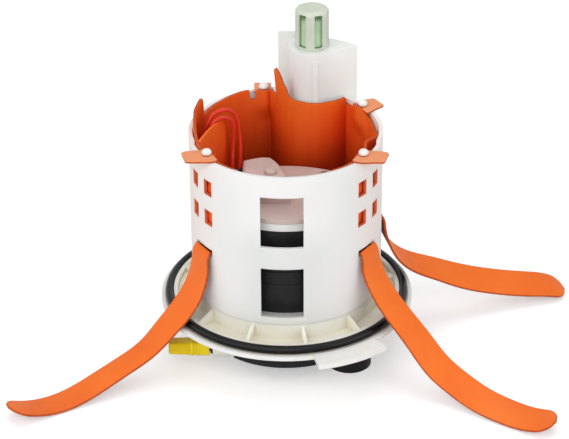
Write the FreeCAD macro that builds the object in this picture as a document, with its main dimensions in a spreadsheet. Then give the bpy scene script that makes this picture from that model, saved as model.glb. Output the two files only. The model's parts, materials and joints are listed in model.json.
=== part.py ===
import FreeCAD, Part
import math
import os
import Sketcher
from FreeCAD import Placement, Rotation, Vector

# Diesel exhaust fluid pump: a module that fills the opening in the bottom of a fluid tank.
# The origin lies on the pot's axis, in the upper face of the flange plate. +Z points up into
# the tank, -Y to the front windows. Headings are degrees from the front, positive towards +X.

doc = FreeCAD.newDocument("FluidPump")
sheet = doc.addObject("Spreadsheet::Sheet", "Sizes")

SIZES = (
    # Flange
    ("flange_rim", 8.0),
    ("plate_thick", 3.6),
    ("collar_room", 12.2),
    ("collar_wall", 2.7),
    ("collar_height", 2.6),
    ("groove_depth", 1.35),
    ("groove_lip", 2.5),
    ("skirt_height", 6.0),
    ("skirt_wall", 2.2),
    ("gusset_count", 12),
    ("gusset_thick", 2.4),
    ("gusset_turn", 10.5),
    ("gusset_drop", 1.2),
    ("web_count", 24),
    ("web_thick", 1.6),
    ("lug_reach", 12.0),
    ("lug_start", 13.0),
    ("lug_sweep", 30.0),
    ("lug_step", 0.1),
    ("tower_gap_turn", 44.0),
    ("tower_gap_sweep", 55.0),
    # Seals
    ("seal_section", 5.3),
    ("seal_clearance", 0.05),
    # Pot
    ("pot_radius", 60.3),
    ("pot_wall", 2.5),
    ("pot_base", 9.8),
    ("pot_floor", 2.5),
    ("rim_front", 112.7),
    ("rim_rear", 115.5),
    ("rim_step_y", 15.6),
    ("spigot_height", 5.0),
    ("spigot_wall", 2.5),
    ("spigot_clearance", 0.1),
    ("recess_heading", 164.2),
    ("recess_out", 3.6),
    ("recess_radius", 24.4),
    ("window_width", 26.2),
    ("window_shift", -1.65),
    ("lower_window_base", 14.9),
    ("lower_window_top", 49.5),
    ("upper_window_base", 64.0),
    ("upper_window_top", 99.0),
    ("side_window_width", 7.9),
    ("side_window_height", 10.3),
    ("side_window_low", 67.8),
    ("side_window_high", 88.6),
    ("side_window_heading", 51.75),
    ("side_window_pitch", 14.9),
    ("slot_heading", 57.3),
    ("rear_slot_heading", 106.0),
    ("slot_level", 48.8),
    ("slot_width", 17.9),
    ("slot_height", 4.6),
    ("rivet_inset", 3.3),
    ("rivet_heading", 56.7),
    ("rear_rivet_left", -164.8),
    ("rear_rivet_right", 122.4),
    ("rivet_boss_radius", 3.0),
    ("rivet_boss_height", 7.0),
    ("pot_screw_inset", 11.8),
    # Heater mat
    ("mat_thick", 1.5),
    ("mat_clearance", 0.3),
    ("mat_base", 16.0),
    ("mat_front_top", 112.4),
    ("mat_rear_top", 117.3),
    ("mat_peak", 136.5),
    ("mat_front_edge", 30.0),
    ("patch_top", 116.5),
    ("tab_level", 0.1),
    ("rivet_head_radius", 3.05),
    ("rivet_head_height", 3.2),
    ("rivet_shank_radius", 1.0),
    ("rivet_length", 6.0),
    ("lead_diameter", 2.4),
    # Heater arms
    ("arm_thick", 1.5),
    ("arm_width", 20.0),
    ("arm_root_width", 17.0),
    ("arm_gap", 0.35),
    ("arm_station_pitch", 9.0),
    # Pump unit
    ("unit_room", 7.8),
    ("unit_wall", 2.5),
    ("unit_base", 12.6),
    ("unit_top", 70.9),
    ("unit_rear", 18.0),
    ("unit_rear_radius", 65.0),
    ("unit_rib", 0.8),
    ("unit_rib_height", 1.6),
    ("unit_rib_first", 31.0),
    ("unit_rib_pitch", 9.0),
    ("ring_height", 5.4),
    ("cover_overhang", 1.4),
    ("cover_thick", 3.0),
    ("cover_rise", 8.0),
    ("cover_boss_radius", 3.9),
    ("cover_boss_height", 2.4),
    ("pump_y", -16.0),
    ("motor_radius", 17.0),
    ("motor_wall", 1.2),
    ("motor_base", 28.0),
    ("motor_height", 36.0),
    ("rotor_radius", 11.0),
    ("rotor_air_gap", 0.6),
    ("shaft_radius", 2.0),
    ("filter_outer", 30.2),
    ("filter_inner", 19.5),
    ("filter_pleats", 36),
    ("filter_paper", 2.2),
    ("filter_height", 34.0),
    ("gear_module", 1.5),
    ("gear_teeth", 11),
    ("gear_face", 7.0),
    ("gear_backlash", 0.2),
    ("gear_tip_gap", 0.25),
    ("gear_side_gap", 0.15),
    ("gear_bore_gap", 0.03),
    ("gear_plate_radius", 28.5),
    ("seat_gap", 0.3),
    # Vent tower
    ("tower_side", 1.4),
    ("tower_setback", 7.7),
    ("tower_radius", 15.2),
    ("tower_room", 3.5),
    ("tower_top", 148.0),
    ("tower_wall", 2.0),
    ("tower_rib_width", 3.6),
    ("tower_rib_depth", 0.5),
    ("back_plate_top", 151.0),
    ("cage_radius", 10.7),
    ("cage_wall", 1.4),
    ("cage_height", 25.6),
    ("cage_slots", 6),
    ("cage_slot_width", 5.4),
    ("cage_slot_turn", 24.0),
    ("float_radius", 8.7),
    ("float_travel", 3.2),
    # Under the flange
    ("under_radius", 52.0),
    ("under_depth", 27.1),
    ("under_side_x", -33.0),
    ("under_wall", 2.2),
    ("foot_level", 36.7),
    ("drive_x", -4.0),
    ("drive_y", -20.0),
    ("drive_radius", 15.0),
    ("socket_heading", 54.26),
    ("socket_inset", 2.35),
    ("socket_radius", 14.0),
    ("socket_wall", 1.8),
    ("socket_depth", 15.0),
    ("socket_land", 6.0),
    ("socket_relief", 0.3),
    ("sensor_x", -20.0),
    ("sensor_y", 30.0),
    ("sensor_radius", 10.0),
    ("second_socket_x", 27.0),
    ("second_socket_y", 27.0),
    ("second_socket_width", 22.0),
    ("second_socket_depth", 13.0),
    ("board_thick", 1.6),
    ("board_room", 9.0),
    ("socket_gap", 0.3),
    ("screw_radius", 1.6),
    ("screw_gap", 0.05),
    ("screw_boss_radius", 4.0),
    ("under_screw_inset", 6.9),
    ("pot_screw_head", 3.2),
    ("outlet_y", -40.8),
    ("outlet_level", -18.0),
    ("outlet_face", -46.0),
    ("outlet_boss_radius", 6.5),
    ("nipple_radius", 3.15),
    ("nipple_bore", 1.6),
    ("nipple_length", 17.0),
    ("cap_radius", 4.1),
    ("cap_gap", 0.06),
    ("cap_end", -74.0),
    ("cap_collar_radius", 5.0),
)


class Size:
    """A length, angle or count that knows its value and its expression in the sheet."""

    def __init__(self, value, text):
        self.value = float(value)
        self.text = text

    def _with(self, sign, value, other, flip=False):
        other_text = other.text if isinstance(other, Size) else repr(float(other))
        first, second = (other_text, self.text) if flip else (self.text, other_text)
        return Size(value, f"({first} {sign} {second})")

    def __add__(self, other):
        return self._with("+", self.value + float(other), other)

    def __radd__(self, other):
        return self._with("+", float(other) + self.value, other, flip=True)

    def __sub__(self, other):
        return self._with("-", self.value - float(other), other)

    def __rsub__(self, other):
        return self._with("-", float(other) - self.value, other, flip=True)

    def __mul__(self, other):
        return self._with("*", self.value * float(other), other)

    def __rmul__(self, other):
        return self._with("*", float(other) * self.value, other, flip=True)

    def __truediv__(self, other):
        return self._with("/", self.value / float(other), other)

    def __neg__(self):
        return Size(-self.value, f"(0 - {self.text})")

    def __float__(self):
        return self.value


class SizeTable:
    """The driving dimensions, one attribute for each alias of the sheet."""


def fill_sheet():
    table = SizeTable()
    for row, (alias, value) in enumerate(SIZES, start=1):
        sheet.set(f"A{row}", alias.replace("_", " "))
        sheet.set(f"B{row}", str(value))
        sheet.setAlias(f"B{row}", alias)
        setattr(table, alias, Size(value, f"Sizes.{alias}"))
    doc.recompute()
    return table


D = fill_sheet()

def sine(angle):
    text = angle.text if isinstance(angle, Size) else repr(float(angle))
    return Size(math.sin(math.radians(float(angle))), f"sin({text} * 1 deg)")


def cosine(angle):
    text = angle.text if isinstance(angle, Size) else repr(float(angle))
    return Size(math.cos(math.radians(float(angle))), f"cos({text} * 1 deg)")


def heading_point(radius, heading):
    """Position on a circle, with the heading measured from the front."""
    return radius * sine(heading), -(radius * cosine(heading))


# Heights, radii and places that several pieces share
floor_top = D.pot_base + D.pot_floor
pot_inner = D.pot_radius - D.pot_wall
mat_outer = pot_inner - D.mat_clearance
mat_inner = mat_outer - D.mat_thick
recess_x, recess_y = heading_point(D.pot_radius + D.recess_out, D.recess_heading)
recess_inner = D.recess_radius + D.pot_wall
recess_mat_outer = recess_inner + D.mat_clearance
recess_mat_inner = recess_mat_outer + D.mat_thick
rivet_circle = D.pot_radius - D.rivet_inset
pot_screw_circle = pot_inner - D.pot_screw_inset
collar_radius = D.pot_radius + D.collar_room
flange_radius = collar_radius + D.flange_rim
seal_radius = collar_radius + D.seal_section / 2 + D.seal_clearance
unit_radius = pot_inner - D.unit_room
ring_top = D.unit_top + D.ring_height
cover_top = ring_top + D.cover_thick
raised_top = cover_top + D.cover_rise
gear_spacing = D.gear_module * D.gear_teeth
tower_x = recess_x - D.tower_side
tower_y = recess_y - D.tower_setback
tower_rim = collar_radius - D.tower_room
socket_x, socket_y = heading_point(D.under_radius - D.socket_inset, D.socket_heading)


# Helpers for sketches and features

def bind(thing, path, size):
    """Tie one property of a document object to the sheet."""
    if isinstance(size, Size):
        thing.setExpression(path, size.text)


def new_body(name, x=0, y=0, z=0, turn=0):
    """A body that stands at x, y, z and is turned about +Z by an angle in degrees."""
    body = doc.addObject("PartDesign::Body", name)
    body.Label = name
    body.Placement = Placement(Vector(float(x), float(y), float(z)),
                               Rotation(Vector(0, 0, 1), float(turn)))
    bind(body, "Placement.Base.x", x)
    bind(body, "Placement.Base.y", y)
    bind(body, "Placement.Base.z", z)
    bind(body, "Placement.Rotation.Angle", turn)
    return body


def origin_feature(body, role):
    for feature in body.Origin.OriginFeatures:
        if feature.Role == role:
            return feature
    raise ValueError(role)


def sketch_on(body, role, offset=0, turn=0):
    """A sketch on an origin plane, moved along its normal and turned about the body's Z."""
    sketch = body.newObject("Sketcher::SketchObject", body.Name + "_sketch")
    sketch.AttachmentSupport = (origin_feature(body, role), [""])
    sketch.MapMode = "FlatFace"
    spin_axis = Vector(0, 0, 1) if role == "XY_Plane" else Vector(0, 1, 0)
    spin = Rotation(spin_axis, float(turn))
    normal = spin.multVec(Vector(0, 0, 1)) * float(offset)
    sketch.AttachmentOffset = Placement(normal, spin)
    if role == "XY_Plane" or float(turn) == 0:
        bind(sketch, "AttachmentOffset.Base.z", offset)
    bind(sketch, "AttachmentOffset.Rotation.Angle", turn)
    return sketch


def hold(sketch, geometry, corner, x, y):
    """Fix one point of a sketch at x, y from its origin."""
    for kind, axis, value in (("DistanceX", -2, x), ("DistanceY", -1, y)):
        if not isinstance(value, Size) and value == 0:
            sketch.addConstraint(Sketcher.Constraint("PointOnObject", geometry, corner, axis))
            continue
        number = sketch.addConstraint(
            Sketcher.Constraint(kind, -1, 1, geometry, corner, float(value)))
        bind(sketch, f"Constraints[{number}]", value)


def outline(sketch, points):
    """A closed outline of straight edges, each corner at its own sizes."""
    first = sketch.GeometryCount
    count = len(points)
    for index in range(count):
        start = points[index]
        end = points[(index + 1) % count]
        sketch.addGeometry(Part.LineSegment(Vector(float(start[0]), float(start[1]), 0),
                                            Vector(float(end[0]), float(end[1]), 0)), False)
    for index in range(count):
        following = first + (index + 1) % count
        sketch.addConstraint(Sketcher.Constraint("Coincident", first + index, 2, following, 1))
    for index, (x, y) in enumerate(points):
        hold(sketch, first + index, 1, x, y)
    return sketch


def box_outline(sketch, left, low, right, high):
    return outline(sketch, [(left, low), (right, low), (right, high), (left, high)])


def circle(sketch, x, y, radius):
    number = sketch.addGeometry(
        Part.Circle(Vector(float(x), float(y), 0), Vector(0, 0, 1), float(radius)), False)
    if not isinstance(x, Size) and not isinstance(y, Size) and x == 0 and y == 0:
        sketch.addConstraint(Sketcher.Constraint("Coincident", number, 3, -1, 1))
    else:
        hold(sketch, number, 3, x, y)
    limit = sketch.addConstraint(Sketcher.Constraint("Radius", number, float(radius)))
    bind(sketch, f"Constraints[{limit}]", radius)
    return sketch


def arc_angles(center, first, second):
    """Start and end angles of the counterclockwise arc from first to second."""
    start = math.atan2(first[1] - center[1], first[0] - center[0])
    end = math.atan2(second[1] - center[1], second[0] - center[0])
    while end <= start:
        end += 2 * math.pi
    return start, end


def two_arc_outline(sketch, main, other, notch):
    """Two arcs about two centers that close on each other.

    Each arc is (x, y, radius). A notch cuts the second circle out of the first one,
    otherwise the outline is what the two circles have in common.
    """
    ax, ay, ar = (float(value) for value in main)
    bx, by, br = (float(value) for value in other)
    gap = math.hypot(bx - ax, by - ay)
    along = (gap * gap + ar * ar - br * br) / (2 * gap)
    across = math.sqrt(ar * ar - along * along)
    ux, uy = (bx - ax) / gap, (by - ay) / gap
    right = (ax + ux * along + uy * across, ay + uy * along - ux * across)
    left = (ax + ux * along - uy * across, ay + uy * along + ux * across)
    first, last = (left, right) if notch else (right, left)
    start, end = arc_angles((ax, ay), first, last)
    big = Part.ArcOfCircle(Part.Circle(Vector(ax, ay, 0), Vector(0, 0, 1), ar), start, end)
    start, end = arc_angles((bx, by), left, right)
    small = Part.ArcOfCircle(Part.Circle(Vector(bx, by, 0), Vector(0, 0, 1), br), start, end)
    main_arc = sketch.addGeometry(big, False)
    other_arc = sketch.addGeometry(small, False)
    joints = ((2, 2), (1, 1)) if notch else ((2, 1), (1, 2))
    for main_end, other_end in joints:
        sketch.addConstraint(
            Sketcher.Constraint("Coincident", main_arc, main_end, other_arc, other_end))
    for number, values in ((main_arc, main), (other_arc, other)):
        x, y, radius = values
        if not isinstance(x, Size) and not isinstance(y, Size) and x == 0 and y == 0:
            sketch.addConstraint(Sketcher.Constraint("Coincident", number, 3, -1, 1))
        else:
            hold(sketch, number, 3, x, y)
        limit = sketch.addConstraint(Sketcher.Constraint("Radius", number, float(radius)))
        bind(sketch, f"Constraints[{limit}]", radius)
    return sketch


def feature(body, kind, sketch, length, flip, both):
    item = body.newObject(kind, body.Name + "_feature")
    item.Profile = sketch
    if length is None:
        item.Type = "ThroughAll"
    else:
        item.Length = float(length)
        bind(item, "Length", length)
    item.Reversed = flip
    item.Midplane = both
    return item


def pad(body, sketch, length, flip=False, both=False):
    return feature(body, "PartDesign::Pad", sketch, length, flip, both)


def pocket(body, sketch, length=None, flip=False, both=False):
    """Cut a sketch out of the body, and check that it does cut something."""
    doc.recompute()
    before = body.Shape.Volume
    item = feature(body, "PartDesign::Pocket", sketch, length, flip, both)
    doc.recompute()
    if body.Shape.Volume > before - 0.01:
        raise ValueError(f"{item.Name} cuts nothing")
    return item


def turned(body, sketch, angle=360, cut=False):
    """A solid, or with cut a groove, of a profile turned about the sketch's upright axis."""
    kind = "PartDesign::Groove" if cut else "PartDesign::Revolution"
    item = body.newObject(kind, body.Name + "_turned")
    item.Profile = sketch
    item.ReferenceAxis = (sketch, ["V_Axis"])
    item.Angle = float(angle)
    bind(item, "Angle", angle)
    return item


def polar(body, originals, count):
    """Repeat features about the body's Z axis."""
    item = body.newObject("PartDesign::PolarPattern", body.Name + "_pattern")
    item.Originals = originals
    item.Axis = (origin_feature(body, "Z_Axis"), [""])
    item.Angle = 360
    item.Occurrences = int(float(count))
    bind(item, "Occurrences", count)
    body.Tip = item
    return item


def edges_where(shape, test):
    """Names of the edges whose middle point passes a test."""
    names = []
    for number, edge in enumerate(shape.Edges, start=1):
        middle = edge.valueAt((edge.FirstParameter + edge.LastParameter) / 2)
        if test(edge, middle):
            names.append(f"Edge{number}")
    return names


def rounded(body, base, names, radius):
    item = body.newObject("PartDesign::Fillet", body.Name + "_round")
    item.Base = (base, names)
    item.Radius = float(radius)
    bind(item, "Radius", radius)
    return item


def chamfered(body, base, names, size):
    item = body.newObject("PartDesign::Chamfer", body.Name + "_chamfer")
    item.Base = (base, names)
    item.Size = float(size)
    bind(item, "Size", size)
    return item


def lathe(name, profile, x=0, y=0, z=0):
    """A body turned about its own Z axis from a closed profile of radius and height."""
    body = new_body(name, x, y, z)
    turned(body, outline(sketch_on(body, "XZ_Plane"), profile))
    doc.recompute()
    return body


def set_shape(name, shape):
    """A piece whose shape is built from the sheet's values."""
    piece = doc.addObject("Part::Feature", name)
    piece.Label = name
    piece.Shape = shape
    piece.Placement = Placement()
    return piece


# Flange

UNDER_SCREWS = tuple(heading_point(D.under_radius - D.under_screw_inset, heading)
                     for heading in (172.2, -34.4, 102.8))


def flange_profile():
    edge = flange_radius
    shoulder = collar_radius
    lip = edge - D.groove_lip
    inner = collar_radius - D.collar_wall
    skirt_in = D.under_radius + D.spigot_clearance * 3
    skirt_out = skirt_in + D.skirt_wall
    spigot = pot_inner + D.spigot_clearance
    under = -D.plate_thick
    skirt = under - D.skirt_height
    return [(0, under), (skirt_in, under), (skirt_in, skirt), (skirt_out, skirt),
            (skirt_out, under), (edge, under), (edge, -0.01 * edge), (lip, -0.01 * edge),
            (lip, -D.groove_depth), (shoulder, -D.groove_depth),
            (shoulder, D.collar_height), (inner, D.collar_height), (inner, 0),
            (D.pot_radius, 0), (D.pot_radius, D.pot_base), (spigot, D.pot_base),
            (spigot, 0), (0, 0)]


def flange_gussets(body):
    inner = D.pot_radius - 0.5
    outer = collar_radius - D.collar_wall / 2
    sketch = sketch_on(body, "XZ_Plane", turn=D.gusset_turn)
    outline(sketch, [(inner, -0.5), (outer, -0.5), (outer, D.collar_height - 0.2),
                     (inner, D.pot_base - D.gusset_drop)])
    return pad(body, sketch, D.gusset_thick, both=True)


def flange_webs(body):
    inner = D.under_radius + D.skirt_wall
    outer = flange_radius - 1.5
    top = -D.plate_thick + 0.5
    sketch = sketch_on(body, "XZ_Plane", turn=D.gusset_turn)
    outline(sketch, [(inner, top), (outer, top), (outer, top - 0.9),
                     (inner, -D.plate_thick - D.skirt_height * 0.8)])
    return pad(body, sketch, D.web_thick, both=True)


def flange_lug(body):
    low = -D.plate_thick
    high = -D.lug_step
    inner = flange_radius - 1.0
    outer = flange_radius + D.lug_reach
    sketch = sketch_on(body, "XZ_Plane", turn=D.lug_start - 90)
    outline(sketch, [(inner, low), (outer, low), (outer, high), (inner, high)])
    return turned(body, sketch, D.lug_sweep)


def make_flange():
    body = new_body("flange_plate")
    turned(body, outline(sketch_on(body, "XZ_Plane"), flange_profile()))
    doc.recompute()
    polar(body, [flange_gussets(body)], D.gusset_count)
    polar(body, [flange_webs(body)], D.web_count)
    doc.recompute()
    # The tower stands in a gap of the pot collar, so collar and gussets are cut away there
    gap = sketch_on(body, "XZ_Plane", turn=D.tower_gap_turn)
    outline(gap, [(D.pot_radius - D.pot_wall - 2, 0), (tower_rim + 0.4, 0),
                  (tower_rim + 0.4, D.pot_base + 1), (D.pot_radius - D.pot_wall - 2, D.pot_base + 1)])
    turned(body, gap, D.tower_gap_sweep, cut=True)
    flange_lug(body)
    # Bosses under the pot for its screws
    for x, y, level in pot_screw_places():
        post = circle(sketch_on(body, "XY_Plane", -0.5), x, y, D.screw_boss_radius)
        pad(body, post, D.pot_base + 0.5)
        hole = circle(sketch_on(body, "XY_Plane", D.pot_base), x, y, D.screw_radius + D.screw_gap)
        pocket(body, hole, D.pot_base - 1.0)
    room = circle(sketch_on(body, "XY_Plane", -D.plate_thick), socket_x, socket_y,
                  D.socket_radius + D.socket_gap)
    pocket(body, room, 10.0)
    for x, y in UNDER_SCREWS:
        hole = circle(sketch_on(body, "XY_Plane", -D.plate_thick), x, y,
                      D.screw_radius + D.screw_gap)
        pocket(body, hole, D.plate_thick - 1.2, flip=True)
    # Outlet boss and its web, with the drilled way up into the pot
    boss = circle(sketch_on(body, "YZ_Plane", D.outlet_face),
                  D.outlet_y, D.outlet_level, D.outlet_boss_radius)
    pad(body, boss, 10.0)
    web = box_outline(sketch_on(body, "YZ_Plane", D.outlet_face), D.outlet_y - 4,
                      D.outlet_level, D.outlet_y + 4, -D.plate_thick + 0.5)
    pad(body, web, 10.0)
    bore = circle(sketch_on(body, "YZ_Plane", D.outlet_face - 1),
                  D.outlet_y, D.outlet_level, D.nipple_radius)
    pocket(body, bore, 9.0, flip=True)
    riser = circle(sketch_on(body, "XY_Plane", 1.0), D.outlet_face + 5, D.outlet_y, 2.2)
    pocket(body, riser, 19.0)
    doc.recompute()
    return body


def make_seal():
    ring = doc.addObject("Part::Torus", "flange_seal")
    ring.Label = "flange_seal"
    ring.Radius1 = float(seal_radius)
    ring.Radius2 = float(D.seal_section / 2)
    bind(ring, "Radius1", seal_radius)
    bind(ring, "Radius2", D.seal_section / 2)
    level = D.seal_section / 2 - D.groove_depth
    ring.Placement = Placement(Vector(0, 0, float(level)), Rotation())
    bind(ring, "Placement.Base.z", level)
    return ring


# Pot

def side_cut(body, heading, width, low, high, depth):
    """A square opening through the wall at a heading, cut from outside."""
    sketch = sketch_on(body, "XZ_Plane", turn=heading)
    box_outline(sketch, -width / 2, low, width / 2, high)
    return pocket(body, sketch, depth, flip=True)


def rivet_places():
    """Positions of the mat rivets and the level of the pot rim under each."""
    return [
        (*heading_point(rivet_circle, -D.rivet_heading), D.rim_front),
        (*heading_point(rivet_circle, D.rivet_heading), D.rim_front),
        (*heading_point(rivet_circle, D.rear_rivet_left), D.rim_rear),
        (*heading_point(rivet_circle, D.rear_rivet_right), D.rim_rear),
    ]


def pot_screw_places():
    places = []
    for heading in (45.0, 135.0, -45.0, -135.0):
        x, y = heading_point(pot_screw_circle, heading)
        places.append((x, y, floor_top))
    return places


def pot_walls(body):
    height = D.rim_rear - D.pot_base
    pad(body, circle(sketch_on(body, "XY_Plane", D.pot_base), 0, 0, D.pot_radius), height)
    spigot = sketch_on(body, "XY_Plane", D.pot_base)
    circle(spigot, 0, 0, pot_inner)
    circle(spigot, 0, 0, pot_inner - D.spigot_wall)
    pad(body, spigot, D.spigot_height, flip=True)
    recess = circle(sketch_on(body, "XY_Plane", D.rim_rear + 1),
                    recess_x, recess_y, D.recess_radius)
    pocket(body, recess)
    inside = two_arc_outline(sketch_on(body, "XY_Plane", D.rim_rear), (0, 0, pot_inner),
                             (recess_x, recess_y, recess_inner), notch=True)
    pocket(body, inside, D.rim_rear - floor_top)
    for x, y, rim in rivet_places():
        boss = circle(sketch_on(body, "XY_Plane", rim), x, y, D.rivet_boss_radius)
        pad(body, boss, D.rivet_boss_height, flip=True)
    lowered = sketch_on(body, "XY_Plane", D.rim_rear + 1)
    reach = D.pot_radius + 1
    box_outline(lowered, -reach, -reach, reach, -D.rim_step_y)
    pocket(body, lowered, D.rim_rear - D.rim_front + 1)


def pot_openings(body):
    windows = sketch_on(body, "XZ_Plane")
    left = D.window_shift - D.window_width / 2
    right = D.window_shift + D.window_width / 2
    box_outline(windows, left, D.lower_window_base, right, D.lower_window_top)
    box_outline(windows, left, D.upper_window_base, right, D.upper_window_top)
    pocket(body, windows, D.pot_radius + 2, flip=True)
    for side in (-1, 1):
        for column in (0, 1):
            heading = side * (D.side_window_heading + column * D.side_window_pitch)
            sketch = sketch_on(body, "XZ_Plane", turn=heading)
            half = D.side_window_width / 2
            for low in (D.side_window_low, D.side_window_high):
                box_outline(sketch, -half, low, half, low + D.side_window_height)
            pocket(body, sketch, D.pot_radius + 2, flip=True)
    for heading in (-D.slot_heading, D.slot_heading, D.rear_slot_heading):
        side_cut(body, heading, D.slot_width, D.slot_level - D.slot_height / 2,
                 D.slot_level + D.slot_height / 2, D.pot_radius + 2)


def make_pot():
    body = new_body("reservoir_pot")
    pot_walls(body)
    pot_openings(body)
    for x, y, rim in rivet_places():
        pin_hole = circle(sketch_on(body, "XY_Plane", rim), x, y, D.rivet_shank_radius)
        pocket(body, pin_hole, D.rivet_length)
    for x, y, level in pot_screw_places():
        hole = circle(sketch_on(body, "XY_Plane", level), x, y, D.screw_radius + D.screw_gap)
        pocket(body, hole, D.pot_floor + 1)
        seat = circle(sketch_on(body, "XY_Plane", level), x, y, D.pot_screw_head + D.screw_gap)
        pocket(body, seat, D.pot_screw_head / 2)
    doc.recompute()
    return body


# Heater mat

def mat_side_edge(body, side):
    """Trim the top of one side of the liner to its free edge, seen from the side."""
    top = D.mat_peak + 2
    level = D.mat_front_top
    if side < 0:
        edge = [(-24, level), (-6, level + 8), (10, level + 13), (20.5, level + 14.5),
                (21.5, level + 0.5), (34, level + 3.5), (48, D.mat_rear_top)]
        sketch = sketch_on(body, "YZ_Plane", -12)
    else:
        edge = [(-24, level), (-14, level + 1), (0, level - 1.5), (12, level - 3),
                (22, level + 0.5), (27, D.mat_rear_top)]
        sketch = sketch_on(body, "YZ_Plane", 20)
    rivet_y = rivet_places()[0][1]
    under_tab = [(rivet_y - 10.1, level), (rivet_y - 9.5, level + 0.7),
                 (rivet_y + 5.9, level + 0.7)]
    outline(sketch, [(-65, level)] + under_tab + edge + [(65, D.mat_rear_top), (65, top), (-65, top)])
    pocket(body, sketch, 50, flip=side > 0)


def mat_rear_edge(body):
    """Trim the top behind the unit, with the tall ear beside the tower recess."""
    rear = D.mat_rear_top
    peak = D.mat_peak
    sketch = sketch_on(body, "XZ_Plane", -20)
    outline(sketch, [(-14, rear), (-5.0, rear), (-5.2, peak), (-3.8, peak - 0.8),
                     (-1.8, peak - 5.2), (-0.3, peak - 12.2), (1.5, peak - 17.6), (4.4, rear),
                     (20, rear - 0.8),
                     (37, rear), (38.5, rear - 5), (44, rear - 5), (45, rear), (66, rear),
                     (66, peak + 3), (-14, peak + 3)])
    pocket(body, sketch, 50)


def mat_notches(body):
    """Notches in the free edge, and the clearances round the rivet bosses."""
    for heading, width, depth in ((-157.0, 3.6, 6.5), (-172.0, 2.0, 6.5)):
        sketch = sketch_on(body, "XZ_Plane", turn=heading)
        box_outline(sketch, -width / 2, D.mat_rear_top - depth, width / 2, D.mat_peak + 3)
        pocket(body, sketch, D.pot_radius + 8, flip=True)
    for x, y, rim in rivet_places():
        relief = circle(sketch_on(body, "XY_Plane", D.mat_peak + 2), x, y,
                        D.rivet_boss_radius + D.mat_clearance)
        pocket(body, relief, D.mat_peak + 2 - rim + D.rivet_boss_height + D.mat_clearance)


# Corners of each tab, measured from its rivet
FRONT_TAB = ((15.4, 2.6), (12.4, -9.6), (-4.2, -10.8), (-8.0, -8.2), (1.8, 5.6), (13.6, 4.2))
TABS = (
    tuple((-across, back) for across, back in FRONT_TAB),
    FRONT_TAB,
    ((-4.7, -3.4), (5.6, -0.2), (6.1, 7.6), (-4.5, 7.8)),
    ((-3.8, 3.2), (4.4, -10.2), (9.2, -4.2), (13.8, 0.8), (7.6, 10.6), (-0.6, 7.8)),
)


def mat_tabs(body):
    """Tabs that fold outwards over the rim, each under a rivet."""
    for (x, y, rim), corners in zip(rivet_places(), TABS):
        tab = outline(sketch_on(body, "XY_Plane", rim + D.tab_level),
                      [(x + across, y + back) for across, back in corners])
        pad(body, tab, D.mat_thick)
    for x, y, rim in rivet_places():
        hole = circle(sketch_on(body, "XY_Plane", D.mat_peak), x, y, D.rivet_shank_radius + 0.1)
        pocket(body, hole, D.mat_peak - rim + 1)


def make_mat():
    body = new_body("heater_mat")
    outer = two_arc_outline(sketch_on(body, "XY_Plane", D.mat_base), (0, 0, mat_outer),
                            (recess_x, recess_y, recess_mat_outer), notch=True)
    pad(body, outer, D.mat_peak - D.mat_base)
    inner = two_arc_outline(sketch_on(body, "XY_Plane", D.mat_peak), (0, 0, mat_inner),
                            (recess_x, recess_y, recess_mat_inner), notch=True)
    pocket(body, inner)
    reach = D.pot_radius + 12
    opening = outline(sketch_on(body, "XY_Plane", D.mat_peak),
                      [(0, 0), (-reach * sine(D.mat_front_edge), -reach * cosine(D.mat_front_edge)),
                       (reach * sine(D.mat_front_edge), -reach * cosine(D.mat_front_edge))])
    pocket(body, opening)
    mat_side_edge(body, -1)
    mat_side_edge(body, 1)
    mat_rear_edge(body)
    mat_notches(body)
    mat_tabs(body)
    doc.recompute()
    return body


def make_patch():
    """The terminal flap, a panel that stands off the liner with the wires behind it."""
    body = new_body("lead_patch")
    foot_x = -52.9
    foot_y = -18.2
    base = cover_top + D.seat_gap
    plan = outline(sketch_on(body, "XY_Plane", base),
                   [(foot_x, foot_y), (-50.2, -9.0), (-45.4, 3.0), (-39.2, 14.0),
                    (-37.9, 13.3), (-44.1, 2.3), (-48.8, -9.6), (foot_x + 1.5, foot_y - 0.4)])
    pad(body, plan, D.patch_top - base)
    doc.recompute()
    return body


def rivet_profile():
    head = D.rivet_head_radius
    shank = D.rivet_shank_radius
    rise = D.rivet_head_height
    seat = D.tab_level + D.mat_thick
    return [(0, seat - D.rivet_length + 0.5), (shank, seat - D.rivet_length + 0.5), (shank, seat),
            (head, seat), (head, seat + rise * 0.34), (head * 0.93, seat + rise * 0.62),
            (head * 0.72, seat + rise * 0.85), (head * 0.4, seat + rise * 0.97), (0, seat + rise)]


def copies(name, master, places):
    """One piece that holds equal copies of a master body's solid."""
    solids = []
    for x, y, z in places:
        solid = master.Shape.copy()
        solid.translate(Vector(float(x), float(y), float(z)))
        solids.append(solid)
    return set_shape(name, Part.makeCompound(solids))


def make_rivets():
    return copies("mat_rivets", lathe("rivet_master", rivet_profile()), rivet_places())


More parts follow.
